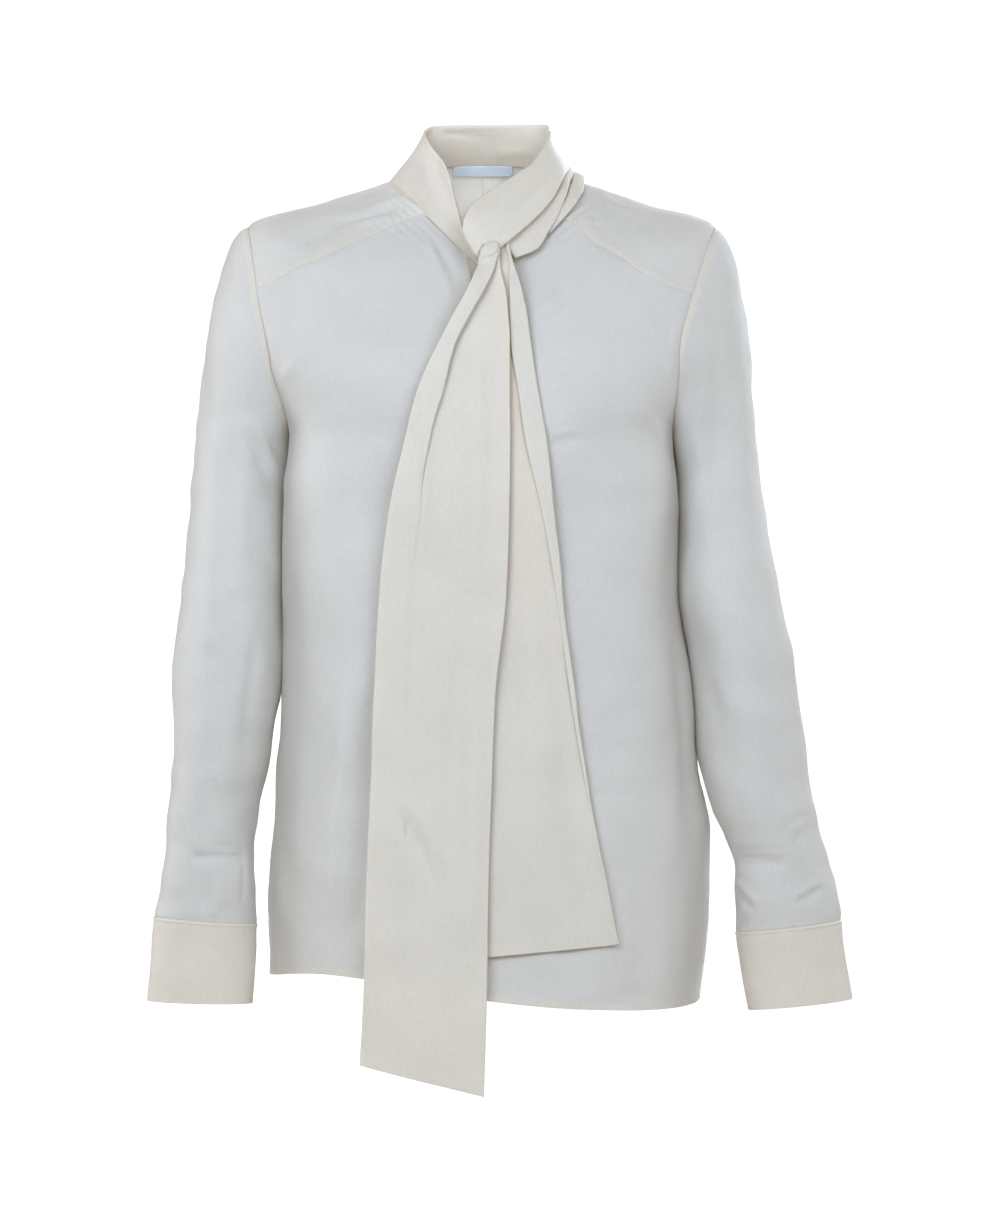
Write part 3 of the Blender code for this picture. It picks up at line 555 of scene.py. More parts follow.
def silkMaterial(name, finish):
    cloth = bpy.data.materials.new(name)
    cloth.use_nodes = True
    tree = cloth.node_tree
    shader = tree.nodes["Principled BSDF"]
    setInputs(shader, clothFinish["gloss"] | {
        "Roughness": finish["roughness"],
        "Sheen Weight": finish["sheen"],
        "Sheen Tint": linear(clothFinish["sheenTint"]),
    })

    def noise(scale, detail, source, output):
        return addNode(tree, "ShaderNodeTexNoise", in_2=scale, in_3=detail,
                       links=[(0, source, output)])

    place = addNode(tree, "ShaderNodeTexCoord")
    # the warm tone follows the attribute: doubled cloth, and on the tie, knot and tails painted warm
    # shade in folds and crevices
    doubledAndShade = addNode(tree, "ShaderNodeAttribute", attribute_name="doubledAndShade")
    tone = addNode(tree, "ShaderNodeMix", data_type="RGBA", in_6=linear(finish["cool"]),
                   in_7=linear(finish["warm"]), links=[(0, doubledAndShade, "Fac")])
    stretch = addNode(tree, "ShaderNodeMapping", links=[(0, place, "UV")])
    setInputs(stretch, {"Scale": (*clothFinish["streak"], 1.0)})
    cloud = noise(clothFinish["cloud"], 3.0, place, "Object")
    grain = noise(0.55 / clothFinish["grain"], 2.0, place, "Object")
    streak = noise(1.0, 2.0, stretch, 0)
    shade = tone
    low, high = clothFinish["noise"]
    for pattern, darkest in zip((cloud, grain, streak), clothFinish["darkest"].values()):
        soft = addNode(tree, "ShaderNodeMapRange", in_1=low, in_2=high, in_3=darkest, in_4=1.0,
                       links=[(0, pattern, 0)])
        shade = addNode(tree, "ShaderNodeVectorMath", operation="SCALE",
                        links=[(0, shade, "Result" if shade == tone else 0), (3, soft, 0)])
    tree.links.new(shade.outputs[0], shader.inputs["Base Color"])
    share, strength, distance = clothFinish["relief"]
    height = addNode(tree, "ShaderNodeMath", operation="MULTIPLY_ADD", in_1=share,
                     links=[(0, streak, 0), (2, grain, 0)])
    bump = addNode(tree, "ShaderNodeBump", in_0=strength, in_1=distance,
                   links=[("Height", height, 0)])
    tree.links.new(bump.outputs[0], shader.inputs["Normal"])
    glow = addNode(tree, "ShaderNodeMix", data_type="RGBA", blend_type="MULTIPLY", in_0=1.0,
                   in_7=linear(clothFinish["throughTint"]), links=[(6, shade, 0)])
    through = addNode(tree, "ShaderNodeBsdfTranslucent", links=[(0, glow, "Result")])
    both = addNode(tree, "ShaderNodeMixShader", in_0=finish["through"],
                   links=[(1, shader, 0), (2, through, 0)])
    tree.links.new(both.outputs[0], tree.nodes["Material Output"].inputs["Surface"])
    return cloth


# silk crepe de chine, woven from twisted threads: matt and pebbled with a faint even glow
crepe = silkMaterial("silk crepe de chine", clothFinish["crepe"])
# the same crepe doubled: two layers let less light through, so it looks creamier. Its warm tone also
# serves as painted warm shade in the tie's folds, under its layers and round the knot
doubledCrepe = silkMaterial("silk crepe doubled", clothFinish["doubledCrepe"])
# woven polyester satin of the label: smooth, cooler, with a soft shine
labelSatin = silkMaterial("woven label satin", clothFinish["label"])
# spun silk sewing thread: smoother than the crepe, so its stitches catch a small light
silkThread = silkMaterial("silk sewing thread", clothFinish["thread"])
print("materials made")


def addMesh(name, shape, finish):
    # a bmesh becomes a mesh with one finish
    mesh = bpy.data.meshes.new(name)
    shape.to_mesh(mesh)
    shape.free()
    mesh.materials.append(finish)
    return mesh


def addObject(name, data):
    obj = bpy.data.objects.new(name, data)
    bpy.context.scene.collection.objects.link(obj)
    return obj


# sewing: a grid becomes a sheet with its marks, thickness and place in the part
def gridMesh(name, points, doubledAndShade, finish, way):
    rows, columns = points.shape[:2]
    sheet = bmesh.new()
    sheet.loops.layers.uv.new("cloth")
    bmesh.ops.create_grid(sheet, x_segments=columns - 1, y_segments=rows - 1, size=1)
    mesh = addMesh(name, sheet, finish)
    flat = np.empty(len(mesh.vertices) * 3, np.float32)
    mesh.vertices.foreach_get("co", flat)
    flat = flat.reshape(-1, 3)
    row = np.rint((flat[:, 1] + 1) / 2 * (rows - 1)).astype(int)
    column = np.rint((flat[:, 0] + 1) / 2 * (columns - 1)).astype(int)
    mesh.vertices.foreach_set("co", points[row, column].astype(np.float32).ravel())
    # how doubled the cloth is, and on the tie, knot and tails how much painted warm shade lies in its
    # folds and crevices
    mark = mesh.attributes.new("doubledAndShade", "FLOAT", "POINT")
    mark.data.foreach_set("value", doubledAndShade[row, column].astype(np.float32))
    corner = np.empty(len(mesh.loops), np.int32)
    mesh.loops.foreach_get("vertex_index", corner)
    across, down = lengths(points, 1), lengths(points, 0)
    cut = np.stack([across[row, column], down[row, column]], axis=-1)[corner]
    mesh.uv_layers["cloth"].data.foreach_set("uv", cut.astype(np.float32).ravel())
    sheet = bmesh.new()
    sheet.from_mesh(mesh)
    bmesh.ops.remove_doubles(sheet, verts=sheet.verts, dist=clothForm["weld"])
    bmesh.ops.recalc_face_normals(sheet, faces=sheet.faces)
    middle = Vector(points.mean(axis=(0, 1)))
    facing = 0
    for face in sheet.faces:
        if way == "front":
            facing -= face.normal.y
        elif way == "round":
            facing += face.normal.dot(face.calc_center_median() - middle)
    if facing < 0:
        bmesh.ops.reverse_faces(sheet, faces=sheet.faces)
    sheet.to_mesh(mesh)
    sheet.free()
    mesh.shade_smooth()
    return mesh


def sewSheet(name, node, points, doubledAndShade, finish, way, wall=None):
    obj = addObject(name, gridMesh(name, points, doubledAndShade, finish, way))
    if wall:
        shell = obj.modifiers.new("wall", "SOLIDIFY")
        shell.thickness = wall
        shell.offset = 0
    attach(obj, "root")
    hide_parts(node)


def sewDoubled(node, points, way, cream, wall=clothForm["softWall"], edge=clothForm["softEdge"]):
    # a doubled piece: front and back layer joined round their folded edges, and how creamy it is
    rim = np.ones(points.shape[:-1])
    for away in fromEdges(points).values():
        rim = np.minimum(rim, np.sqrt(np.clip(1 - (1 - np.clip(away / edge, 0, 1)) ** 2, 0, 1)))
    out = outOf(points, way) * (rim * wall / 2)[..., None]
    points = np.concatenate([points + out, (points - out)[:, ::-1]], axis=1)
    name = "silk_" + node.replace("_band", "")
    sewSheet(name, node, points, np.concatenate([cream, cream[:, ::-1]], axis=1),
             doubledCrepe, "closed")


# stitches: short lengths of thread laid on the finished cloth
stitchForm = {
    "length": 0.0021,  # sewn at about 4 to the centimetre; drawn at 3 so that each one shows
    "gap": 0.0012,
    "width": 0.00034,
    "height": 0.00022,
    "from": {"hem": 0.0047, "front edge": 0.0037, "cuff top": 0.0012},
}
stitchLines = []


def lineBeside(points, side, distance):
    # points and outward ways along a line at some distance from one edge
    out = outOf(points, "round")
    far = fromEdges(points)[side]
    if side in ("start", "end"):
        points, out, far = np.swapaxes(points, 0, 1), np.swapaxes(out, 0, 1), far.T
    if side in ("bottom", "end"):
        points, out, far = points[::-1], out[::-1], far[::-1]
    line = np.array([
        [np.interp(distance, far[:, k], source[:, k, axis]) for axis in range(3)]
        for source in (points, out) for k in range(points.shape[1])
    ]).reshape(2, -1, 3)
    stitchLines.append((line[0] + line[1] * clothForm["singleWall"] / 2, line[1]))


def sewStitches(name):
    thread = bmesh.new()
    form = stitchForm
    step = form["length"] + form["gap"]
    for line, out in stitchLines:
        length = lengths(line, 0)
        for middle in np.arange(step, length[-1] - step, step):
            start, end, up = [
                Vector([np.interp(middle + aside, length, source[:, axis]) for axis in range(3)])
                for aside, source in ((-form["length"] / 2, line), (form["length"] / 2, line), (0, out))
            ]
            along = (end - start).normalized()
            side = along.cross(up).normalized()
            turn = Matrix((along, side, side.cross(along))).transposed().to_4x4()
            size = Matrix.Diagonal((form["length"], form["width"], form["height"], 1))
            place = Matrix.Translation((start + end) / 2)
            bmesh.ops.create_cube(thread, size=1, matrix=place @ turn @ size)
    bmesh.ops.recalc_face_normals(thread, faces=thread.faces)
    mesh = addMesh(name, thread, silkThread)
    mesh.shade_smooth()
    obj = addObject(name, mesh)
    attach(obj, "root")
    stitchLines.clear()


def sewOnBody(node, seams, edges, form, seed, half=None):
    # a sheet between four seams of the body, each edge with its kind
    places = tightEnds(fillSeams(*seams))
    turn, level = places[..., 0], places[..., 1]
    points = bodyPoints(turn, level)
    if half:
        start, full = bodyForm["lap"]
        lap = np.clip((start - half["sign"] * turn) / (start - full), 0, 1)
        lap = half["lapLift"] * lap * np.clip(level, 0, 1)
        points = points + bodyOut(turn, level) * lap[..., None]
    points = drawnIn(points, clothForm["seamGap"] / 2)
    joined = [side for side, kind in edges.items() if kind not in turnedEdges]
    points = creased(points, form["creases"], "round", seed, joined)
    points = shirred(points, "top", *form["gathers"])
    points, doubledAndShade = seamed(points, edges, form.get("lining", 0.0))
    for side, kind in edges.items():
        if kind in turnedEdges:
            lineBeside(points, side, stitchForm["from"][kind])
    sewSheet("silk_" + node, node, points, doubledAndShade, crepe, "round",
             clothForm["singleWall"])


# the two fronts
frontForm = {
    "seamSteps": 80,
    "neckSteps": 36,
    "edgeSteps": 176,
    "armSteps": 80,
    "creases": bodyCreases,
    "gathers": (0.012, 0.028, 0.022, 0.0011, 0.0080),  # centre, reach, fall, height, step
    "right": {"flat": (0.33, 0.64), "area": 0.145, "held": "draped"},
    "left": {"flat": (0.33, 0.66), "area": 0.145, "held": "draped"},
}


def makeFront(half, seed):
    form = frontForm
    arm = armholeBearings(half, bodyForm["yokeFrontBearing"], 180, form["armSteps"])
    sideSteps = form["neckSteps"] + form["edgeSteps"] - form["armSteps"]
    outer = endToEnd(armhole(half, arm), sideSeam(half, sideSteps))
    stops = onSide(half, half["edge"])
    neckTurn = half["sign"] * half["yokeSeam"][0][0]
    neck = seamLine([(neckTurn, 0), stops[0]], form["neckSteps"])
    centreTurn = stops[-1][0]
    edge = seamLine(stops + [(centreTurn, hemLevel(centreTurn))], form["edgeSteps"])
    bottom = hemLine(centreTurn, outer[-1, 0], form["seamSteps"])
    seams = yokeSeam(half, form["seamSteps"]), bottom, endToEnd(neck, edge), outer
    edges = {"top": "seam", "bottom": "hem", "end": "seam", "start": "front edge"}
    sewOnBody("front_" + half["name"], seams, edges, form, seed, half)


makeFront(halves["right"], 3)
makeFront(halves["left"], 4)
print("fronts sewn")

# the back
backForm = {
    "steps": 144,
    "armSteps": 74,
    "sideSteps": 138,
    "creases": bodyCreases,
    "gathers": (0.20, 0.055, 0.030, 0.0009, 0.0090),
    "cut": {"flat": (0.50, 0.58), "area": 0.265, "held": "draped"},
}


def makeBack():
    form = backForm
    sides = []
    for half in (halves["left"], halves["right"]):
        arm = armholeBearings(half, -180, bodyForm["yokeBackBearing"], form["armSteps"])
        sides.append(endToEnd(armhole(half, arm[::-1]), sideSeam(half, form["sideSteps"])))
    fullTurn = np.array([360, 0])
    sides[1] = sides[1] + fullTurn
    steps = form["steps"] // 2
    rightTop = backYokeSeam(halves["right"], steps) + fullTurn
    top = endToEnd(backYokeSeam(halves["left"], steps), rightTop[::-1])
    bottom = hemLine(sides[0][-1, 0], sides[1][-1, 0], form["steps"])
    edges = {"top": "seam", "bottom": "hem", "start": "allowance", "end": "allowance"}
    sewOnBody("back", (top, bottom, *sides), edges, form, 5)


makeBack()
sewStitches("hem_stitches")
print("back sewn and hem stitched")

# the yokes
yokeForm = {
    "neckSteps": 56,
    "spineSteps": 30,
    "seamSteps": 78,
    "lining": 0.18,  # the yoke is faced, so a little creamier than one layer
    "gathers": (0.012, 0.026, 0.020, 0.0014, 0.0072),
    "cut": {"flat": (0.21, 0.26), "area": 0.038, "held": "draped"},
    "creases": {
        "front": [
            (-60, -8, -128, -33, 2, 3, 1.6, 0.2, 0.5), (-66, -18, -140, -37, 3, 3.5, -1.5, 0.2, 0.5),
            (-72, -29, -115, -40, -2, 2.6, 1.4, 0.2, 0.5), (-60, -33, -95, -42, 2, 2, -1.2, 0.2, 0.5),
            (-56, -18, -90, -36, 1.6, 1.8, 1.1, 0.2, 0.5),
            (-68, -2, -108, -18, -1.6, 2.2, -1.2, 0.2, 0.5), (-85, -5, -133, -20, 2, 2.6, 1.2, 0.3, 0.4),
            (-100, -16, -165, -40, 1, 4, 1, 0.3, 0.4), (-110, -29, -160, -56, 4, 4.5, -0.9, 0.3, 0.4),
            (78, -30, 90, -56, 1, 1.8, -1.2, 0.2, 0.5), (84, -26, 98, -56, 1, 1.8, 1.3, 0.2, 0.5),
            (90, -23, 104, -50, 1, 1.8, -1.1, 0.2, 0.5), (98, -12, 150, -30, -2, 4.5, 1.2, 0.3, 0.5),
            (90, -6, 130, -16, 2, 3, -1, 0.2, 0.5), (125, -33, 170, -80, -3, 6, 1, 0.3, 0.5),
        ],
        "back": [
            (-40, -10, -80, -80, 4, 8, 1.2, 0.2, 0.4), (40, -10, 80, -82, -4, 8, 1.2, 0.2, 0.4),
            (-150, -50, -90, -75, -3, 7, -0.9, 0.2, 0.4), (150, -50, 90, -75, 3, 7, -0.9, 0.2, 0.4),
        ],
        "unevenness": 0.0005,
        "swing": 0.055,
    },
}


def makeYoke(half, seed):
    form = yokeForm
    steps = form["neckSteps"] + form["spineSteps"]
    arm = armholeBearings(half, bodyForm["yokeBackBearing"], bodyForm["yokeFrontBearing"], steps)
    neckTurn = half["yokeSeam"][0][0]
    centreTurn = half["sign"] * 180
    neck = seamLine(onSide(half, [(neckTurn, 0), (180, 0)]), form["neckSteps"])
    spine = seamLine([(centreTurn, 0), (centreTurn, bodyForm["backYokeLevel"])], form["spineSteps"])
    front = yokeSeam(half, form["seamSteps"])
    rear = backYokeSeam(half, form["seamSteps"])[::-1]
    seams = front, rear, endToEnd(neck, spine), armhole(half, arm[::-1])
    edges = {"top": "yoke allowance", "bottom": "yoke allowance", "start": "spine", "end": "seam"}
    sewOnBody("yoke_" + half["name"], seams, edges, form, seed)


makeYoke(halves["right"], 6)
makeYoke(halves["left"], 7)
print("yokes sewn")

# sleeves and cuffs: height at the middle, distance from the centre plane, width, depth, how far
# behind the side line, and how much higher the outer side is
sleeveForm = {
    "columns": "height centre width depth behind tilt",
    "right": [
        (-260, 207, 81, 116, -2, 0), (-300, 208.5, 83, 114, -18, 0), (-351, 210.5, 87, 110, -30, 0),
        (-411, 214, 91, 104, -36, 0), (-485, 220, 82, 94, -39, 0), (-526, 225.7, 74, 82, -41, 0),
        (-555, 228, 73, 74, -42, 0), (-582, 230, 80, 68, -43, 2), (-620, 232.5, 85.5, 60, -44, 6),
        (-689, 237, 88, 52, -46, 2),
    ],
    "left": [
        (-260, 201, 74.5, 116, -2, 0), (-300, 204, 79, 114, -18, 0), (-346, 207.8, 88, 111, -30, 0),
        (-398, 218.5, 86.5, 106, -36, 0), (-424, 222, 88.5, 102, -37, 0), (-476, 227.2, 91, 94, -39, 0),
        (-527, 237, 87, 82, -41, 0), (-549, 244, 79.5, 76, -42, 0), (-570, 251.8, 79, 71, -42, 2),
        (-592, 255.5, 85, 66, -43, 6), (-625, 258, 87.5, 60, -44, 10), (-691, 267.7, 87, 52, -46, 9),
    ],
    "armStops": (6, 10, 6),  # steps of the armhole's back, yoke and front stretches
    "round": 116,
    "cap": ((0, 5), (0.05, 61), 1.0),
    "tubeSteps": 128,
    "tubeEnd": (0.004, 10),  # the last stretch above the cuff and its steps
    "cuffStretches": ((0.0003, 12), (0.005, 30), (0.002, 10)),  # from its top twice, from its end
    "topWay": (1.0, 0.0, -0.5),
    "bottomWay": (0.25, 0.0, -1.0),
    "leave": 0.48,
    "arrive": 1.08,
    "gapTop": 0.0001,
    "gapBottom": 0.0004,
    "cuffCream": (0.15, 0.5, 0.001),  # everywhere, more at the seam, and how fast that fades
    "cuffRoll": (0.0006, 0.0016, 0.0009),  # pressed ridge of the cuff seam: height, place, width
    "cuffGroove": (0.0005, 0.0006),
    "cut": {"flat": (0.36, 0.62), "area": 0.175, "held": "draped"},
    "cuffCut": {"flat": (0.235, 0.07), "held": "folded"},
}

sleeveCreases = {
    "right": {
        "front": [
            (-193, -200, -164, -270, 3, 5, 1.3, 0.3, 0.4), (-200, -205, -173, -280, 3, 6, -1.2, 0.3, 0.4),
            (-210, -150, -205, -360, 5, 10, 1.4, 0.3, 0.4),
            (-225, -140, -230, -480, 5, 11, 1.1, 0.3, 0.4),
            (-185, -360, -200, -540, -3, 8, -1.2, 0.3, 0.4),
            (-248, -557, -196, -557.5, 1, 1.5, -1.1, 0.12, 0.12),
            (-242, -560, -216, -561.2, 1, 1.4, 0.8, 0.2, 0.2),
            (-218, -559, -199, -560, -0.8, 1.2, 0.8, 0.2, 0.2),
            (-244, -566, -199, -568, 0.8, 6, -1.8, 0.15, 0.15),
            (-202, -554, -201, -608, 1, 2.2, -0.8, 0.2, 0.2),
            (-240, -560, -230, -615, 2, 6, -0.8, 0.3, 0.2), (-218, -580, -225, -618, 1, 5, 0.8, 0.4, 0.1),
        ],
        "back": [
            (-185, -320, -235, -345, 5, 7, -1.8, 0.2, 0.3), (-180, -345, -235, -370, 4, 7, 1.6, 0.2, 0.3),
            (-190, -380, -230, -360, 3, 6, -1.3, 0.2, 0.3),
            (-215, -120, -210, -300, 5, 10, 1.4, 0.3, 0.4), (-225, -420, -230, -610, 3, 7, 1.2, 0.3, 0.2),
            (-205, -560, -245, -550, 2, 5, -1.4, 0.2, 0.2),
        ],
    },
    "left": {
        "front": [
            (190, -120, 183, -280, -3, 7, 1.2, 0.3, 0.4), (205, -150, 200, -340, -4, 9, -1.1, 0.3, 0.4),
            (220, -130, 228, -420, -4, 11, 1, 0.3, 0.4), (185, -400, 210, -530, 3, 8, -1.1, 0.3, 0.4),
            (208, -558.5, 256, -559.2, -1, 1.5, -1.1, 0.12, 0.2),
            (254, -560, 274, -535, -2, 1.8, -1, 0.2, 0.2),
            (215, -562, 242, -561.2, -0.8, 1.3, 0.8, 0.2, 0.2),
            (212, -568, 260, -570, -1, 6.5, -1.6, 0.15, 0.2), (252, -540, 276, -530, 1, 4, -1, 0.3, 0.3),
            (212, -585, 234, -608, 1, 3, 1.2, 0.2, 0.3), (210, -596, 230, -612, 1, 3, -1, 0.2, 0.3),
            (262, -602, 286, -585, 2, 3, 1.3, 0.2, 0.3), (258, -608, 290, -592, 2, 3, -1.2, 0.2, 0.3),
        ],
        "back": [
            (185, -320, 235, -345, -5, 7, -1.8, 0.2, 0.3), (180, -345, 240, -370, -4, 7, 1.6, 0.2, 0.3),
            (195, -385, 235, -365, -3, 6, -1.3, 0.2, 0.3), (210, -120, 208, -300, -5, 10, 1.4, 0.3, 0.4),
            (235, -430, 255, -610, -3, 7, 1.2, 0.3, 0.2), (220, -565, 270, -550, -2, 5, -1.4, 0.2, 0.2),
        ],
    },
    "both": {"unevenness": 0.0011, "swing": 0.065},
    "cuff": {"unevenness": 0.0005, "swing": 0.05},
}


def sleevePoints(half, height, bearing):
    rows = sleeveForm[half["name"]]
    keys = [-row[0] / perMetre for row in rows]
    ring = columnsAt(sleeveForm["columns"], rows, -height, keys)
    outward = np.cos(np.radians(bearing))
    x = half["sign"] * (ring["centre"] + ring["width"] / 2 * outward)
    y = ring["behind"] - ring["depth"] / 2 * np.sin(np.radians(bearing))
    z = ring["height"] + ring["tilt"] / 2 * outward
    return np.stack([x, y, z], axis=-1)


def capPoints(half, bearing, evenBearing, height):
    # fanned out from the armhole to the sleeve's first whole ring
    form = sleeveForm
    upper = ((1 + np.cos(np.radians(bearing))) / 2)[:, None]
    way = upper * np.array(form["topWay"]) + (1 - upper) * np.array(form["bottomWay"])
    way = unit(way) * (half["sign"], 1, 1)
    aside = upper * way + (1 - upper) * np.array((half["sign"], 0, 0))
    gap = upper * form["gapTop"] + (1 - upper) * form["gapBottom"]
    start = bodyPoints(*armhole(half, bearing).T) + aside * gap
    end = sleevePoints(half, height, evenBearing)
    onward = unit(sleevePoints(half, height - 0.001, evenBearing) - end)
    span = np.linalg.norm(end - start, axis=-1, keepdims=True)
    part = spread(*form["cap"])[:, None, None]
    ease = part**2 * (3 - 2 * part)
    leave = part * (1 - part) ** 2 * form["leave"] * span * way
    arrive = part**2 * (part - 1) * form["arrive"] * span * onward
    return (1 - ease) * start + ease * end + leave + arrive


def roundCreased(points, form, seed, joined):
    # creases on a tube, whose ends meet: the first and last column stay one
    wide = np.concatenate([points[:, -4:-1], points, points[:, 1:4]], axis=1)
    return creased(wide, form, "round", seed, joined)[:, 3:-3]


def makeSleeve(half, seed):
    side = half["name"]
    form = sleeveForm
    stops = (-180, bodyForm["yokeBackBearing"], bodyForm["yokeFrontBearing"], 180)
    coarse = endToEnd(*[
        armholeBearings(half, *stops[k:k + 2], steps) for k, steps in enumerate(form["armStops"])
    ])
    at = np.linspace(0, len(coarse) - 1, form["round"] + 1)
    bearing = smoothCurve(range(len(coarse)), coarse, at)
    evenBearing = np.linspace(-180, 180, form["round"] + 1)
    first, cuffTop, cuffBottom = [form[side][k][0] / perMetre for k in (0, -2, -1)]
    cap = capPoints(half, bearing, evenBearing, first)
    last, steps = form["tubeEnd"]
    down = spread((first, form["tubeSteps"]), (cuffTop + last, steps), cuffTop)[:, None]
    points = endToEnd(cap, sleevePoints(half, down, evenBearing[None]))
    creases = sleeveCreases[side] | sleeveCreases["both"]
    points = roundCreased(points, creases, seed, ("top", "bottom"))
    points, doubledAndShade = seamed(points, {"top": "allowance", "bottom": "seam"})
    points[:, -1] = points[:, 0]
    sewSheet("silk_sleeve_" + side, "sleeve_" + side, points, doubledAndShade, crepe, "round",
             clothForm["singleWall"])
    (gap, upSteps), (upper, midSteps), (lower, endSteps) = form["cuffStretches"]
    down = spread((cuffTop - gap, upSteps), (cuffTop - upper, midSteps), (cuffBottom + lower, endSteps),
                  cuffBottom)[:, None]
    points = sleevePoints(half, down, evenBearing[None])
    points = roundCreased(points, sleeveCreases["cuff"], seed + 20, ("top",))
    away = fromEdges(points)["top"]
    height, place, width = form["cuffRoll"]
    depth, grooveWidth = form["cuffGroove"]
    cream, more, fade = form["cuffCream"]
    roll = height * bell(away - place, width) - depth * bell(away, grooveWidth)
    points = points + outOf(points, "round") * roll[..., None]
    points[:, -1] = points[:, 0]
    lineBeside(points, "top", stitchForm["from"]["cuff top"])
    sewSheet("silk_cuff_" + side, "cuff_" + side, points,
             cream + more * np.exp(-away / fade), doubledCrepe, "round",
             clothForm["doubledWall"])


makeSleeve(halves["right"], 8)
makeSleeve(halves["left"], 9)
sewStitches("cuff_stitches")
print("sleeves and cuffs sewn")

# the standing collar: its upper edge above each turn of the neck seam
collarForm = {
    "columns": "turn x y z",
    "rows": [
        (2, -1, -90, -56), (-10, -15, -86.2, -46.2), (-24, -21.5, -79, -24.7), (-36, -24.5, -62, -6),
        (-48, -30.5, -36, 15), (-66, -44.2, -4, 36), (-92, -49.2, 30, 50), (-125, -43, 48, 57),
        (-155, -20, 54, 58.5), (-180, 2, 55, 58.6), (-205, 24, 54, 58.6), (-235, 49, 47, 58.5),
        (-262, 57, 30, 55), (-275, 55.5, 14, 43),
    ],
    "seat": -0.0012,
    "roundness": -0.0025,
    "neckMiddle": (0, 0.01, 0),
    "hollow": (-0.0045, 0.78),  # at its end, and the share along it where that starts
    "flare": (0.0030, 0.34, 0.12),  # of its foot, until this share along it, fading over this much
    "cream": (0.7, 0.10),
    "along": 230,
    "up": ((0, 8), (0.05, 34), (0.95, 8), 1.0),
    "front": [
        (-33, 11, -16, -47, 1.2, 1.6, -0.8, 0.3, 0.2), (-50, 30, -30, -35, -4, 6, -1, 0.2, 0.3),
        (-38, 25, -23, -30, -3, 5, 0.9, 0.2, 0.3), (-62, 5, -40, -42, -3, 5, 0.8, 0.2, 0.4),
    ],
    "back": [
        (-40, 50, 10, 48, 2, 4, 0.6, 0.2, 0.3), (10, 35, 50, 33, 2, 5, -0.6, 0.2, 0.3),
    ],
    "unevenness": 0.0004,
    "swing": 0.045,
    "cut": {"flat": (0.365, 0.040), "held": "folded"},
}


def stacked(edge, *names):
    return np.stack([edge[name] for name in names], axis=-1)


def roundedOut(points, height):
    # pushes a strip's middle away from the neck, by a height for each place along it
    part = np.linspace(0, 1, len(points))[:, None, None]
    out = unit(np.cross(np.gradient(points, axis=0), np.gradient(points, axis=1)))
    fromNeck = points - np.array(collarForm["neckMiddle"])
    facing = np.sign(np.sum(out * fromNeck, axis=-1, keepdims=True))
    return points + out * facing * height[None, :, None] * np.sin(np.pi * part)


def creamAbove(part, columns, cream):
    # creamy by so much at the edge where part is 0, and how fast that fades
    return cream[0] * np.exp(-part / cream[1]) * np.ones((1, columns))


def makeCollar():
    form = collarForm
    along = np.linspace(0, 1, form["along"] + 1)
    edge = alongRows(form, along)
    seam = bodyPoints(edge["turn"], 0.0) + (0, 0, form["seat"])
    part = spread(*form["up"])[:, None, None]
    points = (1 - part) * seam + part * stacked(edge, "x", "y", "z")
    hollow, start = form["hollow"]
    points = roundedOut(points, form["roundness"] + hollow * easeIn(along, start, 1))
    part = part[..., 0]
    flare, until, fade = form["flare"]
    flare = flare * (1 - part) ** 3 * easeIn(until - along[None], 0, fade)
    points = points + outOf(points, "round") * flare[..., None]
    points[..., 2] -= flare
    points = creased(points, form, "round", 10)
    sewDoubled("collar_band", points, "round", creamAbove(part, len(along), form["cream"]))


makeCollar()

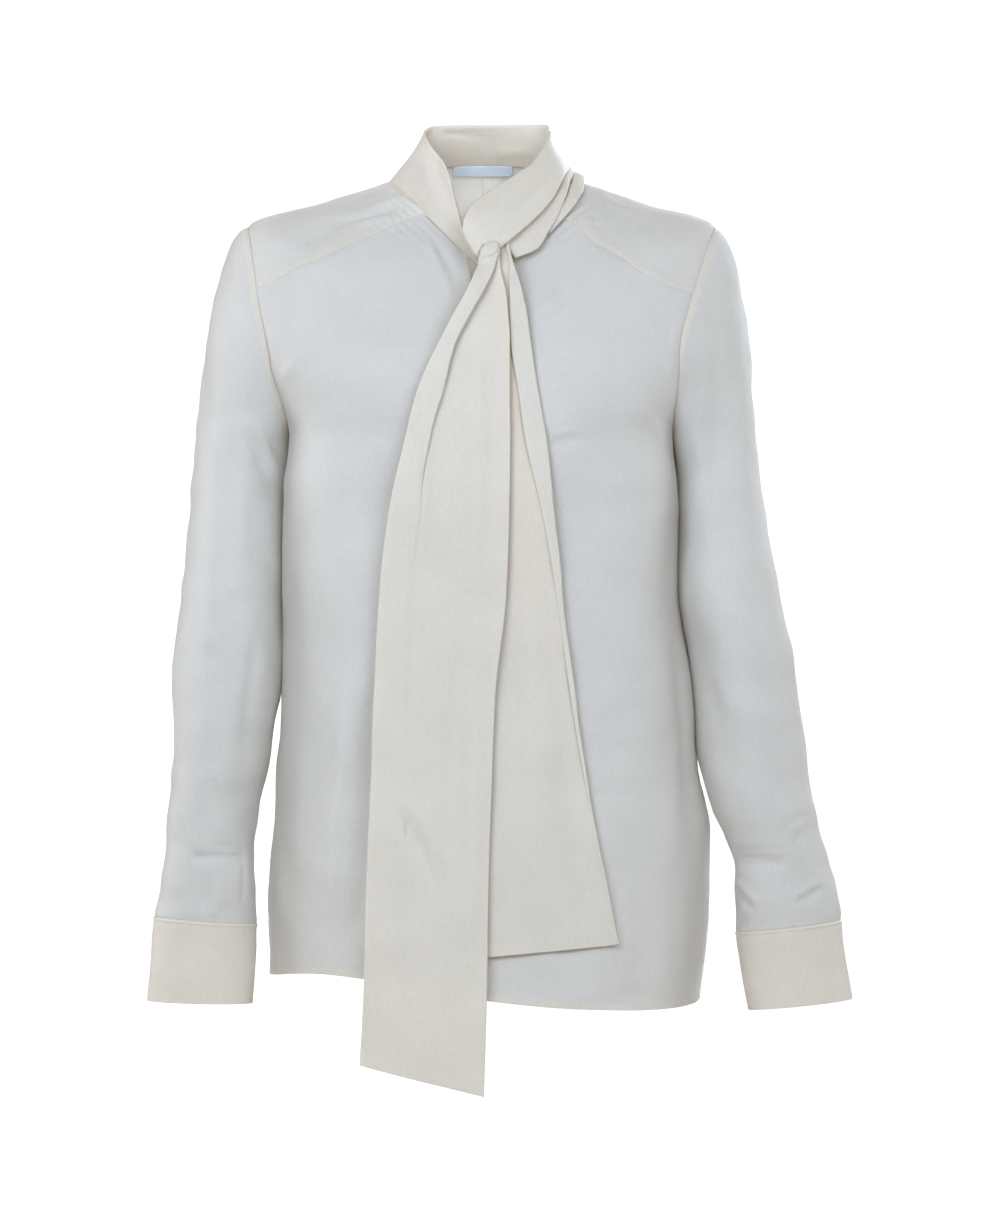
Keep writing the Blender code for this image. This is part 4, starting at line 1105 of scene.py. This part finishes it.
# the tie where it crosses the neck: upper and lower edge of each stretch, how far its middle stands
# out (hollow at the shoulder end), how creamy its top is (painted warm shade where it tucks under
# the layer above) and the mesh's steps
neckTieForms = {
    "swath": {
        "rows": [
            (57.7, 24, 51.2, 75, 9.8, 16.5), (56.1, 13.2, 42.8, 74.5, -3, 14.5),
            (50, -12, 27.5, 70.2, -27, 9), (42.3, -29, 16.5, 66.8, -45, 1),
            (30.4, -49, 6.7, 60.3, -62, -13.5), (15.3, -64, -3.9, 51.2, -75, -25.8),
            (0.3, -77, -15.1, 37.7, -87, -39.6), (-11.3, -87, -26.8, 24.4, -96, -51.9),
            (-15.4, -94, -42.7, 13, -99, -62), (-7, -97, -63, 4, -99, -74.5),
        ],
        "front": [
            (52, 18, 8, -33, 4, 7, -1.3, 0.3, 0.5), (60, 6, 20, -38, 3, 5, 0.9, 0.3, 0.5),
            (28, 0, -8, -42, 3, 5, 0.8, 0.3, 0.5), (45, -15, 12, -52, 2, 4, -0.7, 0.3, 0.3),
            (-4.2, -75, 3, -54.5, 1.2, 1.2, -1.6, 0.1, 0.2),
        ],
        "bulge": 0.0058,
        "hollow": -0.0050,
        "cream": (0.1, 0.3),
        "across": 54,
        "along": 170,
        "unevenness": 0.0004,
        "cut": {"flat": (0.18, 0.045), "held": "folded"},
    },
    "fold_middle": {
        "rows": [
            (69.6, 30, 21.5, 72.8, 29, 15), (72.4, 6, 17.5, 77.2, 3, 13), (68, -26, 8, 73.8, -30, 1.2),
            (62.8, -46, -6.5, 71.2, -49, -9), (53.1, -63, -20, 63.4, -66, -29.3),
            (42.9, -74, -32, 56.2, -76, -43.1), (32, -83, -43, 46.4, -84, -58.5),
            (17.8, -90, -56, 27.5, -92, -67.5),
        ],
        "bulge": 0.0018,
        "across": 26,
        "along": 120,
        "cut": {"flat": (0.128, 0.020), "held": "folded"},
    },
    "fold_outer": {
        "rows": [
            (74.8, 30, 13.5, 79, 30, 7.2), (77.8, 3, 12, 86.6, 0, 7.4), (76.5, -26, 3, 85.6, -30, -4),
            (72, -45.5, -11, 81.2, -49, -14.2), (65, -59, -24, 71.3, -62, -28),
            (54, -70.5, -40, 56.2, -73, -46),
        ],
        "bulge": 0.0016,
        "across": 24,
        "along": 90,
        "cut": {"flat": (0.102, 0.0165), "held": "folded"},
    },
}
neckTieShared = {
    "columns": "upperX upperY upperZ lowerX lowerY lowerZ",
    "hollow": 0.0,
    "hollowUntil": 0.25,
    "rim": 7,  # steps close to each edge
    "cream": (0.9, 0.3),
    "unevenness": 0.0003,
    "swing": 0.05,
}


def makeNeckTie(name, seed):
    form = neckTieShared | neckTieForms[name]
    along = np.linspace(0, 1, form["along"] + 1)
    edge = alongRows(form, along)
    upper = stacked(edge, "upperX", "upperY", "upperZ")
    lower = stacked(edge, "lowerX", "lowerY", "lowerZ")
    part = spread((0, form["rim"]), (0.05, form["across"]), (0.95, form["rim"]), 1.0)[:, None, None]
    bulge = form["hollow"] + (form["bulge"] - form["hollow"]) * easeIn(along, 0, form["hollowUntil"])
    points = roundedOut((1 - part) * upper + part * lower, bulge)
    points = creased(points, form, "front", seed)
    # painted warm shade along the top edge, which tucks under the layer above
    cream = creamAbove(part[..., 0], len(along), form["cream"])
    sewDoubled("tie_" + name, points, "front", cream)


for number, stretch in enumerate(neckTieForms):
    makeNeckTie(stretch, 11 + number)
print("collar and tie round the neck sewn")

# the tails: left and right edge, the fold line between them, how far the cloth is tucked back
# under that fold, how far it stands off the front, and the fold's thickness; then the mesh's steps,
# the shares across it of its edges and folds, and which layer lies where
tailForms = {
    "long": {
        "columns": "leftX leftZ rightX rightZ foldX tuck off fold",
        "rows": [
            (0, -65.8, 14.5, -63, 13.2, 4, 33, 3), (-5, -79, 16.2, -78, 9, 8, 27.5, 6),
            (-12.8, -97, 19.9, -95, 0.8, 12, 21.5, 8.5), (-22.6, -115, 22.2, -115, -10.2, 13, 18, 8),
            (-33.2, -135, 23.5, -135, -19.7, 10, 16, 6.5), (-52.2, -177, 23.5, -177, -31.6, 6, 13.5, 4.8),
            (-63.5, -221, 23.9, -221, -44, 3, 12.5, 3), (-76.7, -282, 23.1, -282, -52, 1, 12, 1.2),
            (-84.1, -347, 20.7, -347, -57, 0, 12, 0), (-88.7, -432, 11.6, -432, -60, 0, 12, 0),
            (-91.5, -512, 8.3, -515, -62, 0, 12, 0), (-94.8, -588, 5.9, -592, -64, 0, 12, 0),
            (-96.4, -659, 4.8, -670, -65, 0, 12, 0), (-100.5, -735, 2.2, -759.6, -68, 0, 12, 0),
        ],
        "front": [
            (-89, -340, -96, -730, 0, 2.2, 0.5, 0.2, 0.05),
            (-24, -360, -30, -640, 4, 8.5, -1.6, 0.4, 0.4), (-6, -300, -10, -700, 3, 8, 1.3, 0.4, 0.3),
            (-76, -515, -33, -600, 4, 8, -1.3, 0.3, 0.4), (-66, -510, -25, -585, 4, 7, 0.8, 0.3, 0.4),
            (-44, -180, -64, -430, 5, 6, 1.4, 0.2, 0.6), (-28, -150, -35, -360, 3, 8, -1.2, 0.2, 0.5),
            (-2, -130, -2, -360, 1, 6, 1.2, 0.2, 0.5), (-60, -300, -72, -500, 3, 8, -1, 0.3, 0.4),
        ],
        "down": ((0, 8), (0.008, 296), (0.997, 8), 1.0),
        "across": ((0, 7), (0.03, 28), (0.40, 12), (0.455, 10), (0.545, 12), (0.60, 26), (0.97, 7), 1.0),
        "stops": (0, 0.455, 0.545, 1),
        "layers": ((0, 0.425, 0.485, 0.515, 0.575, 1), (1, 1, 0.62, 0.38, 0, 0)),
        "roll": (0.10, 0.40, 0.05),  # the fold's rolled edge: height in layers, place and width
        "cream": (0.0080, 0.56, 0.07),  # painted warm shade in the hollow beside the fold: full where the fold is this thick; place and width
        "upper": (-0.30, 0.2, 0.5, 0.10),  # painted warm shade near the knot by the right edge: from this height, over this, how creamy, how fast it fades
        "unevenness": 0.0008,
        "swing": 0.085,
        "cut": {"flat": (0.105, 0.70), "held": "hung", "area": 0.0640},
    },
    "short": {
        "columns": "leftX leftZ rightX rightZ foldX off fold",
        "rows": [
            (6, -54, 21.5, -54, 20, 18.8, 3), (9.5, -72, 26.2, -72, 22.5, 23.8, 3),
            (6, -97, 34.3, -97, 23, 11.8, 3.4), (3, -135, 40.1, -135, 24, 7.3, 3.6),
            (1, -177, 46.2, -177, 30, 5.8, 3.4), (0, -219, 52.8, -219, 36, 5.3, 3),
            (-1, -272, 59.3, -272, 48, 5.3, 2.4), (-1, -319, 64, -319, 57, 5.3, 1.8),
            (-1, -366, 68.7, -366, 64, 5.3, 1.4), (0, -470, 81.8, -470, 79.5, 5.3, 1.2),
            (1, -560, 97.5, -558, 96, 5.3, 1.1), (3, -646, 114, -636, 112.2, 5.3, 1.1),
        ],
        "front": [
            (27, -300, 18, -630, 4, 12, -1.4, 0.4, 0.1), (43, -300, 52, -630, -4, 13, 1.4, 0.4, 0.1),
            (64, -430, 88, -630, -3, 11, -1.2, 0.4, 0.1),
        ],
        "down": ((0, 8), (0.008, 250), (0.997, 8), 1.0),
        "across": ((0, 6), (0.03, 34), (0.66, 14), (0.74, 14), (0.82, 14), (0.97, 7), 1.0),
        "stops": (0, 0.74, 1),
        "layers": ((0, 0.70, 0.78, 1), (0, 0, 1, 1)),
        "upper": (-0.42, 0.25, 0.9, 0.45, 0.74),  # painted warm shade where it lies behind the long tail: from this height, over this, how creamy, where
        # painted warm shade in a narrow band down its middle, from low down upwards: from this height,
        # over this, how creamy, where, how wide
        "under": (-0.60, 0.2, 0.15, 0.50, 0.08),
        "unevenness": 0.0007,
        "swing": 0.08,
        "cut": {"flat": (0.105, 0.58), "held": "hung", "area": 0.0480},
    },
}


def tailPoints(form, edge, across, places, roll=0):
    # across the tail through its edges and folds, and off the front's slope by layers of the fold
    x = np.stack([smoothCurve(form["stops"], row, across[0]) for row in np.hstack(places)])
    layer = np.interp(across, *form["layers"]) + roll
    part = (x - edge["leftX"]) / (edge["rightX"] - edge["leftX"])
    z = edge["leftZ"] + (edge["rightZ"] - edge["leftZ"]) * part
    y = -(frontDepth(x, z) + edge["off"] + layer * edge["fold"])
    return np.stack([x, y, z], axis=-1)


# painted warm shade that grows upwards from one height, over some distance, to so much
def paintedShadeUpwards(points, start, over, much):
    return much * np.clip((points[..., 2] - start) / over, 0, 1)


def makeLongTail(form, edge, across):
    places = edge["leftX"], edge["foldX"], edge["foldX"] - edge["tuck"], edge["rightX"]
    rise, middle, width = form["roll"]
    points = tailPoints(form, edge, across, places, rise * bell(across - middle, width))
    # painted warm shade beside the fold and near the knot
    full, middle, width = form["cream"]
    cream = np.clip(edge["fold"] / full, 0, 1) * bell(across - middle, width)
    *upper, fade = form["upper"]
    return points, cream + paintedShadeUpwards(points, *upper) * np.exp(-(1 - across) / fade)


def makeShortTail(form, edge, across):
    points = tailPoints(form, edge, across, (edge["leftX"], edge["rightX"], edge["foldX"]))
    *upper, left, right = form["upper"]
    *under, middle, width = form["under"]
    cream = paintedShadeUpwards(points, *upper) * (1 - easeIn(across, left, right))
    return points, cream + paintedShadeUpwards(points, *under) * bell(across - middle, width)


for tailName, makeTail, seed in (("long", makeLongTail, 14), ("short", makeShortTail, 15)):
    tail = tailForms[tailName]
    tailRows = alongRows(tail, spread(*tail["down"]))
    tailEdge = {name: column[:, None] for name, column in tailRows.items()}
    tailSheet, tailPaintedShade = makeTail(tail, tailEdge, spread(*tail["across"])[None])
    tailSheet = creased(tailSheet, tail, "front", seed)
    sewDoubled("tie_tail_" + tailName, tailSheet, "front", np.clip(tailPaintedShade, 0, 1),
               clothForm["doubledWall"], clothForm["doubledEdge"])
print("tails hung")

# the knot: a narrow hood of the long tail's cloth, drawn over the swath and down
knotForm = {
    "left": [(-5.5, -85), (-3, -75.5), (-2.2, -68.5), (-0.8, -62.2), (2, -57.2)],
    "top": [(2, -57.2), (4.8, -54.9), (8.2, -53.7), (11.2, -53.6), (13.8, -54.8)],
    "right": [(5.2, -85), (9.2, -76), (13, -69), (15.1, -62.5), (13.8, -54.8)],
    "seat": -0.1005,  # how far ahead its rim lies on the swath
    "sunk": 0.0015,  # how far its lower end is behind the long tail's face
    "stand": (0.0028, 0.0140),  # how far it stands out, low down and over the swath
    "swell": 0.25,  # share of the way up over which it first swells
    # painted warm shade round its rim, where it turns in to the swath
    "cream": 0.35,
    "over": (0.15, 0.75),  # shares of the way up between which it comes over the swath
    "rim": (3, 0.32),  # how round its sides and its top are
    "crest": (3.2, 0.45),
    "up": ((0, 5), (0.06, 60), (0.94, 6), 1.0),
    "across": ((0, 5), (0.06, 44), (0.94, 5), 1.0),
    "front": [
        (1, -69, 15, -61.5, -1.2, 0.9, -0.5, 0.3, 0.1), (7.5, -56, 2, -74, 1, 1.6, 0.4, 0.3, 0.3),
    ],
    "wall": 0.0012,
    "edge": 0.0008,
    "unevenness": 0.0001,
    "swing": 0.03,
    "cut": {"flat": (0.022, 0.038), "held": "folded"},
}


def makeKnot():
    # left and right edges rise to one rounded top edge, and the cloth swells between them; its lower
    # end runs into the long tail
    form = knotForm
    up, across = spread(*form["up"]), spread(*form["across"])
    left, top, right = [
        throughStops(np.array(form[name]) / perMetre, at * (len(form[name]) - 1))
        for name, at in (("left", up), ("top", across), ("right", up))
    ]
    bottom = left[0] + (right[0] - left[0]) * across[:, None]
    x, z = np.moveaxis(fillSeams(bottom, top, left, right), -1, 0)
    tail = alongRows(tailForms["long"], np.linspace(0, 1, fineSteps))
    face = frontDepth(x, z) + np.interp(-z, -tail["leftZ"], tail["off"] + tail["fold"])
    rim, crest = [
        np.clip(1 - away ** form[name][0], 0, 1) ** form[name][1]
        for name, away in (("rim", abs(2 * across - 1)[None]), ("crest", up[:, None]))
    ]
    up = up[:, None]
    over = easeIn(up, *form["over"])
    seat = (1 - over) * (form["sunk"] - face) + over * form["seat"]
    low, high = form["stand"]
    stand = low * easeIn(up, 0, form["swell"]) * (1 - over) + high * over
    points = np.stack([x, seat - stand * rim * crest, z], axis=-1)
    points = creased(points, form, "front", 16)
    # painted warm shade towards its sides and top, where it turns in to the swath
    cream = form["cream"] * (1 - rim * crest)
    sewDoubled("tie_knot", points, "front", cream, form["wall"], form["edge"])


makeKnot()
print("knot tied")

# the blank label
labelForm = {
    "halfWidth": 0.0265,
    "levels": (-0.02, 0.34),
    "grid": (26, 80),
    "depth": 0.0022,
    "stitchIn": 0.0011,
    "facing": 0.0007,
    "unevenness": 0.00025,
    "swing": 0.02,
    "cut": {"flat": (0.053, 0.013), "held": "laid"},
}


def makeLabel():
    form = labelForm
    rows, columns = form["grid"]
    level = np.linspace(*form["levels"], rows)[:, None]
    x = np.linspace(form["halfWidth"], -form["halfWidth"], columns)[None]
    halfWidth = columnsAt(bodyForm["columns"], bodyForm["rows"], level)["left"]
    turn = 180 - np.degrees(np.arcsin(x / halfWidth))
    points = bodyPoints(turn, level) - bodyOut(turn, level) * form["depth"]
    points = creased(points, form, "round", 17)
    sewSheet("satin_label", "neck_label", points, np.zeros(points.shape[:-1]),
             labelSatin, "round", clothForm["labelWall"])
    for side in ("start", "end"):
        lineBeside(points, side, form["stitchIn"])
    stitchLines[:] = [(line - out * form["facing"], -out) for line, out in stitchLines]
    sewStitches("label_stitches")


makeLabel()
print("label sewn in")

# studio: pale floor, white surroundings seen by the camera only, soft light
studioForm = {
    "floorHeight": -1.3,
    "floorRadius": 1.8,
    "floorColour": "#CEC9C0",
    "floorGlow": 0.04,
    "surroundRadius": 14.0,
    "roughness": 0.9,
    "world": ("#EFEAE2", 0.47, 0.12),  # colour, strength from above and from below
    "worldFade": (-0.6, 0.4),
    "neckColour": "#E2ECFA",
    "neckSpots": {"spot_blend": 0.9, "shadow_soft_size": 0.05},
    # two narrow lights for the inside of the back neck: place, aim, watts, cone. The second shines
    # straight in and falls on the yokes and the label only
    "neckLights": [
        ((0.0, -1.5, 0.75), (0.004, 0.057, 0.004), 48, 4.8),
        ((0.010, -2.2, -0.190), (-0.008, 0.075, 0.004), 180, 3.4),
    ],
    "neckInside": ("silk_yoke_right", "silk_yoke_left", "satin_label", "label_stitches"),
    "lights": [  # name, place, what it looks at, width, height, watts, colour
        ("key", (-0.7, -1.8, 0.4), (0, 0, -0.1), 1.1, 1.1, 32, "#DEEBFD"),
        ("fill", (1, -2, 0.45), (0, 0, -0.1), 1.2, 1.2, 25, "#DCEBFF"),
        ("sideLeft", (-2.5, 0.5, 0.2), (0, 0, -0.2), 1.2, 1.6, 43, "#EAF1FD"),
        ("sideRight", (2.5, 0.5, 0.2), (0, 0, -0.2), 1.2, 1.6, 28, "#E8F0FC"),
        ("behind", (1.3, 2.5, 0.7), (0, 0, -0.25), 1.6, 1.6, 72, "#DCEBFF"),
    ],
}


def studioMaterial(name, colour, glow):
    paint = bpy.data.materials.new(name)
    paint.use_nodes = True
    setInputs(paint.node_tree.nodes["Principled BSDF"], {
        "Base Color": linear(colour), "Roughness": studioForm["roughness"],
        "Emission Color": (1, 1, 1, 1), "Emission Strength": glow,
    })
    return paint


def addLight(name, kind, place, aim, watts, colour, **settings):
    light = bpy.data.lights.new(name, kind)
    light.energy = watts
    light.color = linear(colour)[:3]
    for setting, value in settings.items():
        setattr(light, setting, value)
    lamp = addObject(name, light)
    lamp.location = place
    lamp.rotation_euler = (Vector(aim) - Vector(place)).to_track_quat("-Z", "Y").to_euler()
    return lamp


def makeStudio():
    form = studioForm
    floor = bmesh.new()
    bmesh.ops.create_circle(floor, cap_ends=True, radius=form["floorRadius"], segments=96)
    bmesh.ops.translate(floor, verts=floor.verts, vec=(0, 0, form["floorHeight"]))
    paint = studioMaterial("pale studio floor", form["floorColour"], form["floorGlow"])
    addObject("floor", addMesh("floor", floor, paint))
    surround = bmesh.new()
    bmesh.ops.create_icosphere(surround, subdivisions=4, radius=form["surroundRadius"])
    bmesh.ops.reverse_faces(surround, faces=surround.faces)
    paint = studioMaterial("white surround", "#FFFFFF", 1.0)
    shell = addObject("surround", addMesh("surround", surround, paint))
    for ray in ("diffuse", "glossy", "transmission", "shadow"):
        setattr(shell, "visible_" + ray, False)
    world = bpy.data.worlds.new("studio")
    world.use_nodes = True
    colour, above, below = form["world"]
    tree = world.node_tree
    place = addNode(tree, "ShaderNodeTexCoord")
    height = addNode(tree, "ShaderNodeSeparateXYZ", links=[(0, place, "Generated")])
    low, high = form["worldFade"]
    strength = addNode(tree, "ShaderNodeMapRange", in_1=low, in_2=high, in_3=below, in_4=above,
                       links=[(0, height, 2)])
    tree.nodes["Background"].inputs["Color"].default_value = linear(colour)
    tree.links.new(strength.outputs[0], tree.nodes["Background"].inputs["Strength"])
    bpy.context.scene.world = world
    for name, place, aim, width, height, watts, colour in form["lights"]:
        lamp = addLight(name, "AREA", place, aim, watts, colour, shape="RECTANGLE", size=width,
                        size_y=height)
        lamp.visible_camera = False
    for place, aim, watts, cone in form["neckLights"]:
        spot = addLight("neck", "SPOT", place, aim, watts, form["neckColour"],
                        spot_size=np.radians(cone), **form["neckSpots"])
    inside = bpy.data.collections.new("neck inside")
    for name in form["neckInside"]:
        inside.objects.link(bpy.data.objects[name])
    spot.light_linking.receiver_collection = inside
    view = bpy.context.scene.view_settings
    view.view_transform = "Standard"
    view.look = "None"
    view.exposure = 0
    view.gamma = 1


makeStudio()

cameraForm = {"place": (0.0153, -4.0, -0.360), "lens": 138.6, "sensor": 36}


def makeCamera():
    camera = bpy.data.cameras.new("front camera")
    camera.lens = cameraForm["lens"]
    camera.sensor_width = cameraForm["sensor"]
    camera.dof.use_dof = False
    cameraObject = addObject("front camera", camera)
    cameraObject.location = cameraForm["place"]
    cameraObject.rotation_euler = (np.pi / 2, 0, 0)
    bpy.context.scene.camera = cameraObject


makeCamera()
print("studio and camera set")
